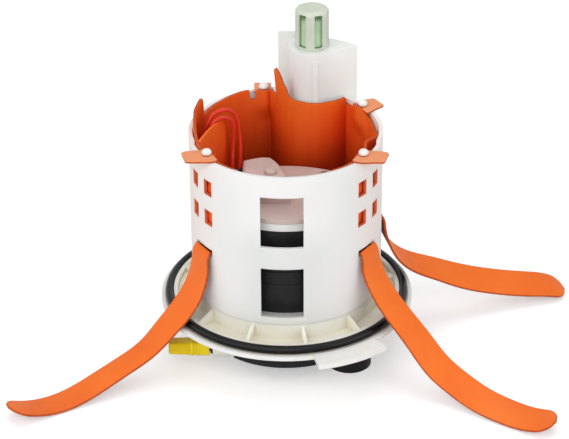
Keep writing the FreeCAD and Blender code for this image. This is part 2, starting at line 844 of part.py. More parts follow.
def tube_route(points, radius):
    """A round wire along straight runs with tangent arcs, and its centre length."""
    corners = [Vector(*point) for point in points]
    edges = []
    here = corners[0]
    length = 0.0
    for before, corner, after in zip(corners, corners[1:], corners[2:]):
        inward = (before - corner).normalize()
        outward = (after - corner).normalize()
        half_turn = (math.pi - inward.getAngle(outward)) / 2
        reach = 0.45 * min((before - corner).Length, (after - corner).Length)
        bend = reach / math.tan(half_turn)
        start = corner + inward * reach
        end = corner + outward * reach
        middle_way = (inward + outward).normalize()
        center = corner + middle_way * (bend / math.cos(half_turn))
        middle = center - middle_way * bend
        edges.append(Part.LineSegment(here, start).toShape())
        edges.append(Part.Arc(start, middle, end).toShape())
        here = end
        print(f"bend radius {bend:.1f}")
    edges.append(Part.LineSegment(here, corners[-1]).toShape())
    length = sum(edge.Length for edge in edges)
    wire = Part.Wire(edges)
    way = (corners[1] - corners[0]).normalize()
    section = Part.Wire([Part.makeCircle(radius, corners[0], way)])
    solid = wire.makePipeShell([section], True, True)
    expected = math.pi * radius * radius * length
    print(f"wire length {length:.1f}, volume ratio {solid.Volume / expected:.4f}")
    return solid


COVER_SCREWS = ((-41.5, -14.0), (41.0, -16.0), (24.0, 7.4))
LEAD_HOLES = ((-33.8, 5.5), (-29.8, 9.2))
LEAD_ROUTES = {
    "heater_lead_inner": ((-53.2, -12.9, 83.0), (-50.8, -4.5, 91.0), (-48.6, 3.0, 100.0),
                          (-46.9, 5.2, 115.3), (-42.0, 7.6, 119.4), (-36.0, 10.5, 118.4),
                          (-32.3, 12.3, 113.0), (-33.4, 10.5, 97.0), (-33.8, 5.5, 88.0),
                          (-33.8, 5.5, 77.5)),
    "heater_lead_outer": ((-53.3, -11.5, 74.0), (-52.8, -2.0, 92.0), (-52.0, 4.5, 106.0),
                          (-48.4, 7.8, 120.3), (-42.3, 10.8, 124.7), (-35.2, 14.2, 123.0),
                          (-31.2, 16.1, 116.2), (-30.0, 12.6, 99.0), (-29.8, 9.2, 89.0),
                          (-29.8, 9.2, 77.5)),
}


def make_leads():
    for name, route in LEAD_ROUTES.items():
        set_shape(name, tube_route(route, float(D.lead_diameter) / 2))


# Heater arms

# Stations of an arm: distance out from the pot's wall, distance to the side, height, twist
ARM_LEFT = ((4.7, -0.4, 28.6, 0), (13.7, -1.5, 11.5, -8), (26.7, -3.0, -2.0, -4),
            (40.2, -4.5, -14.0, 2), (56.7, -6.0, -22.0, 2), (73.7, -7.0, -28.5, 0),
            (90.7, -8.0, -34.0, 0), (104.7, -8.5, -35.4, 0), (120.7, -8.5, -32.5, 2),
            (135.7, -7.5, -25.6, 2))
ARM_RIGHT = ((5.9, -0.5, 32.0, 2), (16.2, -1.5, 18.2, 6), (28.7, -2.1, 6.5, 8),
             (41.4, -2.6, -5.0, 13), (54.0, -3.2, -16.4, 17), (69.2, -3.5, -24.4, 18),
             (85.5, -3.7, -30.1, 18), (102.8, -3.8, -32.4, 16), (120.8, -3.7, -32.0, 15),
             (137.7, -3.3, -27.3, 10))
ARM_REAR = ((5.3, 0.0, 30.0, 0), (14.9, 0.5, 14.0, 8), (27.2, 0.9, 4.8, 16), (40.2, 1.2, -1.5, 21),
            (53.3, 1.4, -7.9, 26), (66.7, 1.7, -13.5, 28), (80.2, 1.9, -18.0, 28),
            (93.9, 2.1, -21.8, 28), (107.7, 2.2, -24.9, 27), (121.6, 2.4, -28.2, 22),
            (133.7, 2.7, -33.4, 12))


def strip_section(center, along, twist, width, thick):
    """A rectangle across the strip, with its long side level and then twisted."""
    side = Vector(0, 1, 0)
    level = side - along * side.dot(along)
    level.normalize()
    upward = along.cross(level)
    upward.normalize()
    angle = math.radians(twist)
    wide = level * math.cos(angle) + upward * math.sin(angle)
    thin = along.cross(wide)
    thin.normalize()
    corners = []
    for a, b in ((-1, -1), (1, -1), (1, 1), (-1, 1), (-1, -1)):
        corners.append(center + wide * (a * width / 2) + thin * (b * thick / 2))
    return Part.makePolygon(corners)


def between(rows, number, column):
    """A value of the stations at a place counted in stations, blended softly."""
    low = min(int(number), len(rows) - 2)
    part = number - low
    soft = part * part * (3 - 2 * part)
    return rows[low][column] * (1 - soft) + rows[low + 1][column] * soft


def arm_solid(stations):
    """A flexible strip lofted from its root in the pot slot to its rounded tip."""
    thick = float(D.arm_thick)
    width = float(D.arm_width)
    root_width = float(D.arm_root_width)
    root_out = float(D.pot_radius + D.arm_gap + D.arm_thick / 2)
    root = (root_out, 0.0, float(D.slot_level), 0)
    shoulder = (root_out + 1.7, 0.0, float(D.slot_level) - 9.0, 0)
    wall = float(D.pot_radius)
    rows = [root, shoulder] + [(wall + out, side, level, twist)
                               for out, side, level, twist in stations]
    curve = Part.BSplineCurve()
    curve.interpolate([Vector(*row[:3]) for row in rows])
    marks = [curve.parameter(Vector(*row[:3])) for row in rows]
    count = int(curve.length() / float(D.arm_station_pitch))
    sections = []
    for step in range(count + 1):
        place = curve.parameterAtDistance(curve.length() * step / count)
        low = max(index for index in range(len(marks) - 1) if marks[index] <= place + 1e-9)
        number = low + (place - marks[low]) / (marks[low + 1] - marks[low])
        twist = between(rows, number, 3)
        wide = root_width + (width - root_width) * min(1.0, 12.0 * step / count)
        sections.append(strip_section(curve.value(place), Vector(*curve.tangent(place)[0]),
                                      twist, wide, thick))
    solid = Part.makeLoft(sections, True, False)
    # The tip is cut to a half round, seen from above
    tip = curve.value(curve.LastParameter)
    middle = Vector(tip.x - width * 0.5, tip.y, tip.z - 30)
    nose = Part.makeCylinder(width / 2, 60, middle)
    before = Part.makeBox(300, 120, 300, Vector(middle.x - 300, -60, -150))
    return solid.common(nose.fuse(before))


def make_arm(name, stations, heading):
    arm = set_shape(name, arm_solid(stations))
    turn = float(heading) - 90
    arm.Placement = Placement(Vector(0, 0, 0), Rotation(Vector(0, 0, 1), turn))
    return arm


def make_arms():
    make_arm("arm_left", ARM_LEFT, -D.slot_heading)
    make_arm("arm_right", ARM_RIGHT, D.slot_heading)
    make_arm("arm_rear", ARM_REAR, D.rear_slot_heading)


# Pump unit

def unit_outline(sketch, grow):
    """The unit's plan: a round front and a flatter rear."""
    rear_center = D.unit_rear - D.unit_rear_radius
    return two_arc_outline(sketch, (0, rear_center, D.unit_rear_radius + grow),
                           (0, 0, unit_radius + grow), notch=False)


def make_housing():
    body = new_body("pump_housing")
    height = D.unit_top - D.unit_base
    pad(body, unit_outline(sketch_on(body, "XY_Plane", D.unit_base), 0), height)
    for step in (0, 1):
        level = D.unit_rib_first + D.unit_rib_pitch * step
        rib = unit_outline(sketch_on(body, "XY_Plane", level), D.unit_rib)
        pad(body, rib, D.unit_rib_height)
    inside = unit_outline(sketch_on(body, "XY_Plane", D.unit_top), -D.unit_wall)
    pocket(body, inside, height - D.unit_wall)
    cover_screw_bosses(body)
    doc.recompute()
    return body


def make_filter_ring():
    body = new_body("filter_ring")
    pad(body, unit_outline(sketch_on(body, "XY_Plane", D.unit_top), 0.7), D.ring_height)
    pocket(body, unit_outline(sketch_on(body, "XY_Plane", ring_top), -5.0))
    for x, y in COVER_SCREWS:
        room = circle(sketch_on(body, "XY_Plane", ring_top), x, y, D.screw_boss_radius + 0.1)
        pocket(body, room)
    doc.recompute()
    return body


def cover_screw_bosses(body):
    """Posts in the housing that take the cover's screws."""
    for x, y in COVER_SCREWS:
        post = circle(sketch_on(body, "XY_Plane", ring_top), x, y, D.screw_boss_radius)
        pad(body, post, D.ring_height + 14.0, flip=True)
        hole = circle(sketch_on(body, "XY_Plane", ring_top), x, y, D.screw_radius + D.screw_gap)
        pocket(body, hole, 8.0)


def make_cover():
    body = new_body("pump_cover")
    plate = pad(body, unit_outline(sketch_on(body, "XY_Plane", ring_top), D.cover_overhang),
                D.cover_thick)
    raised = outline(sketch_on(body, "XY_Plane", cover_top),
                     [(-27.3, -30.0), (-27.3, 12.4), (-19.5, 16.0), (-14.6, 17.2),
                      (-9.8, 16.6), (-6.3, 11.5), (-3.2, 4.9), (1.0, -8.0), (3.0, -30.0)])
    block = pad(body, raised, D.cover_rise)
    doc.recompute()
    names = edges_where(body.Shape, lambda edge, middle: middle.z > float(raised_top) - 0.1)
    top_round = rounded(body, block, names, 2.2)
    boss = pad(body, circle(sketch_on(body, "XY_Plane", raised_top - 1), -9.6, -5.0,
                            D.cover_boss_radius), D.cover_boss_height + 1)
    doc.recompute()
    boss_top = raised_top + D.cover_boss_height
    names = edges_where(body.Shape, lambda edge, middle: middle.z > float(boss_top) - 0.05)
    rounded(body, boss, names, 1.6)
    for x, y in LEAD_HOLES:
        way = circle(sketch_on(body, "XY_Plane", cover_top + 1), x, y, D.lead_diameter / 2 + 0.9)
        pocket(body, way)
    for x, y in COVER_SCREWS:
        hole = circle(sketch_on(body, "XY_Plane", cover_top + 1), x, y, D.screw_radius + 0.1)
        pocket(body, hole)
    doc.recompute()
    return body


def make_grommets():
    """Soft sleeves that seal the wires where they pass the cover."""
    radius = D.lead_diameter / 2
    profile = [(radius + 0.05, 0), (radius + 0.8, 0), (radius + 0.8, D.cover_thick),
               (radius + 1.2, D.cover_thick + 0.1), (radius + 1.0, D.cover_thick + 4.0),
               (radius + 0.05, D.cover_thick + 4.0)]
    master = lathe("grommet_master", profile)
    return copies("lead_grommets", master, [(x, y, ring_top) for x, y in LEAD_HOLES])


def make_motor():
    level = D.motor_base
    radius = D.motor_radius
    wall = D.motor_wall
    top = level + D.motor_height
    bore = D.shaft_radius + D.gear_bore_gap
    profile = [(bore, level), (radius, level), (radius, top), (bore, top), (bore, top - wall * 2),
               (radius - wall * 2, top - wall * 2), (radius - wall * 2, level + wall * 2),
               (bore, level + wall * 2)]
    return lathe("motor_can", profile, 0, D.pump_y)


def make_magnets():
    inner = D.rotor_radius + D.rotor_air_gap
    outer = D.motor_radius - D.motor_wall * 2
    low = D.motor_base + D.motor_wall * 2 + 3
    high = D.motor_base + D.motor_height - D.motor_wall * 2 - 3
    profile = [(inner, low), (outer, low), (outer, high), (inner, high)]
    return lathe("motor_stator", profile, 0, D.pump_y)


def gear_outline():
    """Half gaps of an involute gear, as one closed wire about the origin."""
    module = float(D.gear_module)
    teeth = int(float(D.gear_teeth))
    pitch = module * teeth / 2
    tip = pitch + module * 0.9
    root = pitch - module * 1.1
    pressure = math.radians(25)
    base = pitch * math.cos(pressure)
    half_tooth = (math.pi * module / 2 - float(D.gear_backlash)) / 2 / pitch
    spread = math.tan(pressure) - pressure

    def flank_angle(radius):
        if radius <= base:
            return half_tooth + spread
        roll = math.acos(base / radius)
        return half_tooth + spread - (math.tan(roll) - roll)

    def at(radius, angle):
        return Vector(radius * math.cos(angle), radius * math.sin(angle), 0)

    start = max(base, root)
    radii = [start + (tip - start) * step / 5 for step in range(6)]
    edges = []
    step = 2 * math.pi / teeth
    for tooth in range(teeth):
        middle = tooth * step
        rising = [at(radius, middle - flank_angle(radius)) for radius in radii]
        falling = [at(radius, middle + flank_angle(radius)) for radius in reversed(radii)]
        foot = at(root, middle - flank_angle(start))
        other_foot = at(root, middle + flank_angle(start))
        next_foot = at(root, middle + step - flank_angle(start))
        valley = at(root, middle + step / 2)
        up = Part.BSplineCurve()
        up.interpolate(rising)
        down = Part.BSplineCurve()
        down.interpolate(falling)
        edges.append(Part.LineSegment(foot, rising[0]).toShape())
        edges.append(up.toShape())
        edges.append(Part.Arc(rising[-1], at(tip, middle), falling[0]).toShape())
        edges.append(down.toShape())
        edges.append(Part.LineSegment(falling[-1], other_foot).toShape())
        edges.append(Part.Arc(other_foot, valley, next_foot).toShape())
    return Part.Wire(Part.__sortEdges__(edges))


def gear_solid(center_y, turn, low):
    """A gear of the pump that stands at center_y and is turned by an angle in degrees."""
    face = Part.Face(gear_outline())
    solid = face.extrude(Vector(0, 0, float(D.gear_face)))
    solid.rotate(Vector(0, 0, 0), Vector(0, 0, 1), turn)
    solid.translate(Vector(0, center_y, low))
    return solid


def gear_levels():
    low = float(D.unit_base + D.unit_wall + 2.0)
    return low, float(D.pump_y), float(D.pump_y + gear_spacing)


def make_rotor():
    low, center, _ = gear_levels()
    gear = gear_solid(center, 90, low + float(D.gear_side_gap))
    shaft_low = low + float(D.gear_side_gap)
    shaft_top = float(D.motor_base + D.motor_height) + 2
    shaft = Part.makeCylinder(float(D.shaft_radius), shaft_top - shaft_low,
                              Vector(0, center, shaft_low))
    core_low = float(D.motor_base + D.motor_wall * 2) + 2.5
    core_high = float(D.motor_base + D.motor_height - D.motor_wall * 2) - 2.5
    core = Part.makeCylinder(float(D.rotor_radius), core_high - core_low,
                             Vector(0, center, core_low))
    return set_shape("motor_rotor", gear.fuse([shaft, core]).removeSplitter())


def make_driven_gear():
    low, _, center = gear_levels()
    teeth = float(D.gear_teeth)
    gear = gear_solid(center, -90 + 180 / teeth, low + float(D.gear_side_gap))
    hole = Part.makeCylinder(float(D.shaft_radius + D.gear_bore_gap), 40,
                             Vector(0, center, low - 5))
    return set_shape("driven_gear", gear.cut(hole))


def make_pump_body():
    """The pump body with the eight-shaped gear chamber, the idler pin and the lid."""
    low, drive_y, idler_y = gear_levels()
    base = float(D.unit_base + D.unit_wall)
    top = low + float(D.gear_face + D.gear_side_gap * 2)
    radius = float(D.gear_plate_radius)
    chamber = float(D.gear_module * D.gear_teeth / 2 + D.gear_module * 0.9 + D.gear_tip_gap)
    block = Part.makeCylinder(radius, top - base, Vector(0, drive_y, base))
    for center in (drive_y, idler_y):
        block = block.cut(Part.makeCylinder(chamber, 40, Vector(0, center, low)))
    pin = Part.makeCylinder(float(D.shaft_radius), top - low, Vector(0, idler_y, low))
    return set_shape("pump_body", block.fuse(pin).removeSplitter())


def make_pump_lid():
    low, drive_y, _ = gear_levels()
    top = low + float(D.gear_face + D.gear_side_gap * 2)
    radius = float(D.gear_plate_radius)
    height = float(D.motor_base) - top
    lid = Part.makeCylinder(radius, height, Vector(0, drive_y, top))
    hole = Part.makeCylinder(float(D.shaft_radius + D.gear_bore_gap), 60,
                             Vector(0, drive_y, top - 10))
    return set_shape("pump_lid", lid.cut(hole))


def make_filter():
    """A pleated ring: one pleat repeated about the motor's axis."""
    pleats = int(float(D.filter_pleats))
    outer = float(D.filter_outer)
    inner = float(D.filter_inner)
    paper = float(D.filter_paper)
    center_y = float(D.pump_y)
    low = float(D.motor_base + D.seat_gap)
    step = 2 * math.pi / pleats
    outside = []
    inside = []
    for number in range(pleats):
        angle = number * step
        outside.append((outer, angle))
        outside.append((inner + paper, angle + step / 2))
        inside.append((outer - paper, angle))
        inside.append((inner, angle + step / 2))

    def ring(points):
        corners = [Vector(r * math.cos(a), center_y + r * math.sin(a), low) for r, a in points]
        return Part.makePolygon(corners + corners[:1])

    height = Vector(0, 0, float(D.filter_height))
    solid = Part.Face(ring(outside)).extrude(height).cut(Part.Face(ring(inside)).extrude(height))
    return set_shape("filter_element", solid)


# Vent tower

def wing_outline(sketch):
    """The wing's plan: straight in front, and round along the opening's edge behind."""
    front = [(tower_x + 5.5, tower_y - 14.1), (tower_x + 18.0, tower_y - 7.8),
             (tower_x + 28.6, tower_y - 2.4)]
    back = [heading_point(tower_rim, heading) for heading in (140.4, 146.6, 153.3, 159.6, 168.3)]
    return outline(sketch, front + back + [(tower_x - 2.0, tower_y + 2.2)])


def make_tower():
    body = new_body("vent_tower")
    base = 0.0
    pad(body, circle(sketch_on(body, "XY_Plane", base), tower_x, tower_y, D.tower_radius),
        D.tower_top)
    pad(body, wing_outline(sketch_on(body, "XY_Plane", base)), D.tower_top)
    plate = outline(sketch_on(body, "XY_Plane", base),
                    [(tower_x - 21.6, tower_rim - 3.4), (tower_x - 2.0, tower_rim - 3.4),
                     (tower_x - 2.0, tower_rim - 1.6), (tower_x - 9.0, tower_rim - 0.6),
                     (tower_x - 21.6, tower_rim - 0.6)])
    pad(body, plate, D.back_plate_top)
    rib = box_outline(sketch_on(body, "XY_Plane", base), tower_x + 0.3,
                      tower_y - D.tower_radius - D.tower_rib_depth,
                      tower_x + 0.3 + D.tower_rib_width, tower_y)
    pad(body, rib, D.tower_top - 6.0)
    rim = sketch_on(body, "XY_Plane", D.back_plate_top)
    circle(rim, 0, 0, tower_rim)
    circle(rim, 0, 0, tower_rim + 10)
    pocket(body, rim)
    bore = circle(sketch_on(body, "XY_Plane", 0), tower_x, tower_y - D.tower_wall,
                  D.tower_radius - D.tower_wall * 2)
    pocket(body, bore, D.tower_top - D.tower_wall, flip=True)
    vent = circle(sketch_on(body, "XY_Plane", D.tower_top), tower_x, tower_y, 3.2)
    pocket(body, vent, D.tower_wall + 2)
    doc.recompute()
    return body


def make_cage():
    body = new_body("vent_cage", tower_x, tower_y, D.tower_top)
    radius = D.cage_radius
    wall = D.cage_wall
    high = D.cage_height
    profile = [(radius - wall, 0), (radius, 0), (radius, high - 2.2), (radius - 0.8, high - 0.8),
               (radius - 2.4, high), (0, high), (0, high - wall), (radius - wall, high - wall)]
    turned(body, outline(sketch_on(body, "XZ_Plane"), profile))
    doc.recompute()
    slot = sketch_on(body, "XZ_Plane", turn=D.cage_slot_turn)
    box_outline(slot, -D.cage_slot_width / 2, 1.6, D.cage_slot_width / 2, high - 1.8)
    cut = pocket(body, slot, radius + 1, flip=True)
    polar(body, [cut], D.cage_slots)
    doc.recompute()
    return body


def make_float():
    radius = D.float_radius
    high = D.cage_height - D.cage_wall - D.float_travel - D.seat_gap * 2
    profile = [(0, 0.4), (radius - 1.5, 0.4), (radius, 1.9), (radius, high - 2.5),
               (radius - 1.2, high - 1.0), (radius - 3.6, high - 0.2), (2.0, high),
               (2.0, high - 0.8), (0, high - 0.8)]
    return lathe("vent_float", profile, tower_x, tower_y, D.tower_top)


# Under the flange

def flat_circle(sketch, radius, left):
    """A circle about the origin with its left side cut straight at x = left."""
    reach = math.acos(float(left) / float(radius))
    low = Vector(float(left), -math.sin(reach) * float(radius), 0)
    high = Vector(float(left), math.sin(reach) * float(radius), 0)
    round_side = Part.ArcOfCircle(Part.Circle(Vector(), Vector(0, 0, 1), float(radius)),
                                  -reach, reach)
    arc = sketch.addGeometry(round_side, False)
    chord = sketch.addGeometry(Part.LineSegment(high, low), False)
    sketch.addConstraint(Sketcher.Constraint("Coincident", arc, 3, -1, 1))
    sketch.addConstraint(Sketcher.Constraint("Coincident", arc, 2, chord, 1))
    sketch.addConstraint(Sketcher.Constraint("Coincident", arc, 1, chord, 2))
    sketch.addConstraint(Sketcher.Constraint("Vertical", chord))
    limit = sketch.addConstraint(Sketcher.Constraint("Radius", arc, float(radius)))
    bind(sketch, f"Constraints[{limit}]", radius)
    side = sketch.addConstraint(Sketcher.Constraint("DistanceX", -1, 1, chord, 1, float(left)))
    bind(sketch, f"Constraints[{side}]", left)
    return sketch


def make_under_cover():
    """The can for the electronics, open towards the flange."""
    body = new_body("under_cover")
    top = -D.plate_thick
    wall = D.under_wall
    deep = D.under_depth - D.plate_thick
    pad(body, flat_circle(sketch_on(body, "XY_Plane", top), D.under_radius, D.under_side_x),
        deep, flip=True)
    inside = flat_circle(sketch_on(body, "XY_Plane", top), D.under_radius - wall,
                         D.under_side_x + wall)
    pocket(body, inside, D.board_room)
    drive = circle(sketch_on(body, "XY_Plane", -D.under_depth), D.drive_x, D.drive_y,
                   D.drive_radius)
    pad(body, drive, D.foot_level - D.under_depth, flip=True)
    socket = circle(sketch_on(body, "XY_Plane", top + 1), socket_x, socket_y,
                    D.socket_radius + D.socket_gap)
    pocket(body, socket)
    for x, y in UNDER_SCREWS:
        hole = circle(sketch_on(body, "XY_Plane", top + 1), x, y, D.screw_radius + D.screw_gap)
        pocket(body, hole)
    doc.recompute()
    return body


def make_board():
    """The circuit board, which lies on the floor of the can."""
    body = new_body("control_board")
    gap = D.under_wall + D.seat_gap
    low = -D.plate_thick - D.board_room + D.seat_gap
    pad(body, flat_circle(sketch_on(body, "XY_Plane", low), D.under_radius - gap,
                          D.under_side_x + gap), D.board_thick)
    socket = circle(sketch_on(body, "XY_Plane", 0), socket_x, socket_y,
                    D.socket_radius + D.socket_gap + 0.7)
    pocket(body, socket)
    for x, y in UNDER_SCREWS:
        hole = circle(sketch_on(body, "XY_Plane", 0), x, y, D.screw_radius + 0.8)
        pocket(body, hole)
    for x, y, width, depth in ((-18, 20, 12, 12), (10, 24, 9, 14), (14, -4, 16, 9), (-14, -8, 8, 8)):
        chip = box_outline(sketch_on(body, "XY_Plane", low + D.board_thick - 0.2),
                           x, y, x + width, y + depth)
        pad(body, chip, 2.2)
    doc.recompute()
    return body


def make_sensor():
    """The potted sensor housing under the can."""
    radius = D.sensor_radius
    high = -D.under_depth - D.seat_gap
    low = -D.foot_level
    profile = [(0, low + 1.0), (radius - 2.5, low + 1.0), (radius - 2.5, low), (radius - 0.8, low),
               (radius, low + 0.8), (radius, high), (0, high)]
    return lathe("level_sensor", profile, D.sensor_x, D.sensor_y)


def make_second_socket():
    body = new_body("sensor_socket", D.second_socket_x, D.second_socket_y)
    half_width = D.second_socket_width / 2
    half_depth = D.second_socket_depth / 2
    high = -D.under_depth - D.seat_gap
    height = D.foot_level - D.under_depth - D.seat_gap
    block = pad(body, box_outline(sketch_on(body, "XY_Plane", high), -half_width, -half_depth,
                                  half_width, half_depth), height, flip=True)
    doc.recompute()
    corners = edges_where(body.Shape,
                          lambda edge, middle: abs(edge.Vertexes[0].Z - edge.Vertexes[-1].Z) > 1)
    rounded(body, block, corners, 2.0)
    wall = D.socket_wall
    room = box_outline(sketch_on(body, "XY_Plane", -D.foot_level), -half_width + wall,
                       -half_depth + wall, half_width - wall, half_depth - wall)
    pocket(body, room, height - 2.0, flip=True)
    doc.recompute()
    return body


def make_socket():
    low = -D.foot_level
    radius = D.socket_radius
    inner = radius - D.socket_wall
    profile = [(0, -D.plate_thick), (0, low + D.socket_depth), (inner, low + D.socket_depth),
               (inner, low), (radius, low), (radius, low + D.socket_land),
               (radius - D.socket_relief, low + D.socket_land),
               (radius - D.socket_relief, -D.plate_thick)]
    return lathe("connector_shell", profile, socket_x, socket_y)


def make_pins():
    """Six contact pins in a ring, seated in the floor of the connector."""
    low = -D.foot_level + 4.0
    top = -D.foot_level + D.socket_depth
    master = lathe("pin_master", [(0, low), (0.5, low), (1.0, low + 1.0), (1.0, top), (0, top)])
    places = []
    for number in range(6):
        angle = math.radians(60 * number)
        reach = float(D.socket_radius) * 0.45
        places.append((float(socket_x) + reach * math.cos(angle),
                       float(socket_y) + reach * math.sin(angle), 0))
    return copies("connector_pins", master, places)


# Screws

def pan_screw(name, radius, head_radius, head_height, length):
    """A round head screw whose head sits on its own origin plane, with a cross in the head."""
    profile = [(0, -length), (radius * 0.7, -length), (radius, -length + 1), (radius, 0),
               (head_radius, 0), (head_radius, head_height * 0.4),
               (head_radius * 0.75, head_height * 0.85), (head_radius * 0.4, head_height),
               (0, head_height)]
    body = lathe(name, profile)
    for turn in (0, 90):
        slot = sketch_on(body, "XZ_Plane", turn=turn)
        half = head_radius * 0.5
        box_outline(slot, -half, head_height * 0.45, half, head_height + 1)
        pocket(body, slot, 0.7, both=True)
    doc.recompute()
    return body


def make_cover_screws():
    master = pan_screw("cover_screw_master", D.screw_radius, 2.9, 2.0, D.cover_thick + 4.6)
    return copies("cover_screws", master, [(x, y, cover_top) for x, y in COVER_SCREWS])


def make_pot_screws():
    """Socket head screws, sunk in the pot's floor."""
    radius = D.screw_radius
    head = D.pot_screw_head
    length = D.pot_floor + 8.0
    profile = [(0, -length), (radius * 0.7, -length), (radius, -length + 1),
               (radius, -head / 2), (head, -head / 2), (head, -0.4), (head - 0.4, 0),
               (1.4, 0), (1.4, -head * 0.35), (0, -head * 0.35)]
    master = lathe("pot_screw_master", profile)
    return copies("pot_screws", master, pot_screw_places())


def under_screw_places():
    places = []
    for x, y in UNDER_SCREWS:
        places.append((x, y, -D.under_depth))
    return places


def make_under_screws():
    """Screws that hold the can up against the flange, heads below."""
    length = D.under_depth - D.plate_thick + 2.0
    radius = D.screw_radius
    profile = [(0, length), (radius, length), (radius, 0), (3.2, 0), (3.2, -1.2),
               (2.2, -2.2), (1.6, -2.2), (1.6, -1.0), (0, -1.0)]
    master = lathe("under_screw_master", profile)
    return copies("under_screws", master, under_screw_places())


def make_nipple():
    """The outlet pipe, which points to the left from the boss of the flange."""
    body = new_body("outlet_nipple")
    radius = D.nipple_radius
    tip = D.outlet_face - D.nipple_length
    sketch = sketch_on(body, "XY_Plane", D.outlet_level)
    mid = D.outlet_y
    outline(sketch, [(D.outlet_face + 7, mid - D.nipple_bore), (D.outlet_face + 7, mid - radius),
                     (D.outlet_face, mid - radius), (D.outlet_face, mid - radius - 1.6),
                     (D.outlet_face - 1.5, mid - radius - 1.6), (D.outlet_face - 1.5, mid - radius),
                     (tip + 0.8, mid - radius), (tip, mid - radius + 0.8),
                     (tip, mid - D.nipple_bore)])
    item = turned(body, sketch)
    line = sketch.addGeometry(Part.LineSegment(Vector(float(tip), float(mid), 0),
                                               Vector(float(D.outlet_face), float(mid), 0)), True)
    hold(sketch, line, 1, tip, mid)
    hold(sketch, line, 2, D.outlet_face, mid)
    item.ReferenceAxis = (sketch, ["Axis0"])
    doc.recompute()
    return body


def make_cap():
    """The transport cap over the outlet pipe, which pulls off to the left."""
    body = new_body("outlet_cap")
    bore = D.nipple_radius + D.cap_gap
    outer = D.cap_radius
    collar = D.cap_collar_radius
    mouth = D.outlet_face - 2.0
    mid = D.outlet_y
    blind = D.outlet_face - D.nipple_length - 0.6
    sketch = sketch_on(body, "XY_Plane", D.outlet_level)
    outline(sketch, [(mouth, mid - bore), (mouth, mid - outer), (-58.2, mid - outer),
                     (-58.2, mid - collar), (-60.2, mid - collar), (-60.2, mid - outer),
                     (D.cap_end + 1.2, mid - outer + 0.3), (D.cap_end, mid - outer + 1.5),
                     (D.cap_end, mid), (blind, mid), (blind, mid - bore)])
    item = turned(body, sketch)
    line = sketch.addGeometry(Part.LineSegment(Vector(float(D.cap_end), float(mid), 0),
                                               Vector(float(mouth), float(mid), 0)), True)
    hold(sketch, line, 1, D.cap_end, mid)
    hold(sketch, line, 2, mouth, mid)
    item.ReferenceAxis = (sketch, ["Axis0"])
    doc.recompute()
    return body


MASTERS = ("rivet_master", "grommet_master", "pin_master", "cover_screw_master",
           "pot_screw_master", "under_screw_master")


def build():
    make_flange()
    make_seal()
    make_pot()
    make_mat()
    make_patch()
    make_rivets()
    make_leads()
    make_arms()
    make_housing()
    make_filter_ring()
    make_cover()
    make_grommets()
    make_motor()
    make_magnets()
    make_rotor()
    make_driven_gear()
    make_pump_body()
    make_pump_lid()
    make_filter()
    make_tower()
    make_cage()
    make_float()
    make_under_cover()
    make_board()
    make_sensor()
    make_second_socket()
    make_socket()
    make_pins()
    make_cover_screws()
    make_pot_screws()
    make_under_screws()
    make_nipple()
    make_cap()
    doc.recompute()


def pieces():
    """The document objects that are pieces of the product."""
    found = []
    for thing in doc.Objects:
        parent_body = thing.getParentGeoFeatureGroup()
        if parent_body is None and hasattr(thing, "Shape") and thing.Label not in MASTERS:
            found.append(thing)
    return found


def check_document():
    for thing in doc.Objects:
        if "Invalid" in thing.State or "Error" in thing.State:
            raise ValueError(f"{thing.Label} failed: {thing.State}")
    for piece in pieces():
        if piece.Shape.isNull() or not piece.Shape.isValid() or not piece.Shape.Solids:
            raise ValueError(f"{piece.Label} has no valid solid")


def write_parts():
    os.makedirs("parts", exist_ok=True)
    for piece in pieces():
        piece.Shape.exportStep(os.path.join("parts", f"{piece.Label}.step"))
        box = piece.Shape.BoundBox
        print(f"{piece.Label}: {len(piece.Shape.Solids)} solid, {piece.Shape.Volume:.0f} mm3, "
              f"x {box.XMin:.1f} {box.XMax:.1f}, y {box.YMin:.1f} {box.YMax:.1f}, "
              f"z {box.ZMin:.1f} {box.ZMax:.1f}")


build()
check_document()
write_parts()
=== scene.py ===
"""Looks of the diesel exhaust fluid pump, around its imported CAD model.

Lengths are in millimetres until they become mesh points. The frame is the part's own: +Z up
the pot's axis, -Y towards the windows. Headings are degrees from the front, positive to +X.
"""

import json
import math

import bmesh
import bpy
import numpy as np
from mathutils import Matrix, Vector


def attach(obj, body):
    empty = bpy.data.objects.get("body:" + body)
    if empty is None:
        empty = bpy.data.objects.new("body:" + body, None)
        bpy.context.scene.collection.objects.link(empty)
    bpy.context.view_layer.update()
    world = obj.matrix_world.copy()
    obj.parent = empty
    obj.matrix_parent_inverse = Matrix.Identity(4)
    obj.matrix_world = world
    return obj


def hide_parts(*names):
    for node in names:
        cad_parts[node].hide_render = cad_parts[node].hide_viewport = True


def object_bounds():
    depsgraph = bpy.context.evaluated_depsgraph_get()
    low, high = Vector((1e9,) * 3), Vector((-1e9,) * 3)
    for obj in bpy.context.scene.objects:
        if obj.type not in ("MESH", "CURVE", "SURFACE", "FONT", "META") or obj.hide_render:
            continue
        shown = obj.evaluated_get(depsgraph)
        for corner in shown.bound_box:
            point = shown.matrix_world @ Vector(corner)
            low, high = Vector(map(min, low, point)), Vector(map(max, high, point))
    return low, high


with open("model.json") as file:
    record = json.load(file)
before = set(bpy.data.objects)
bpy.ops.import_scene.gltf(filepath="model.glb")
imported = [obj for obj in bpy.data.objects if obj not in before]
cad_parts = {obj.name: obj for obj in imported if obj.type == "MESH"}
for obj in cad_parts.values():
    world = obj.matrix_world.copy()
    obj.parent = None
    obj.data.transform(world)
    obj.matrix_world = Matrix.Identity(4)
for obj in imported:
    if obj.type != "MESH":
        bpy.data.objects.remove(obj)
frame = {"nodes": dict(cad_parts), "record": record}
cad_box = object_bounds()
MM = 0.001
SHARP_ANGLE = math.radians(50)

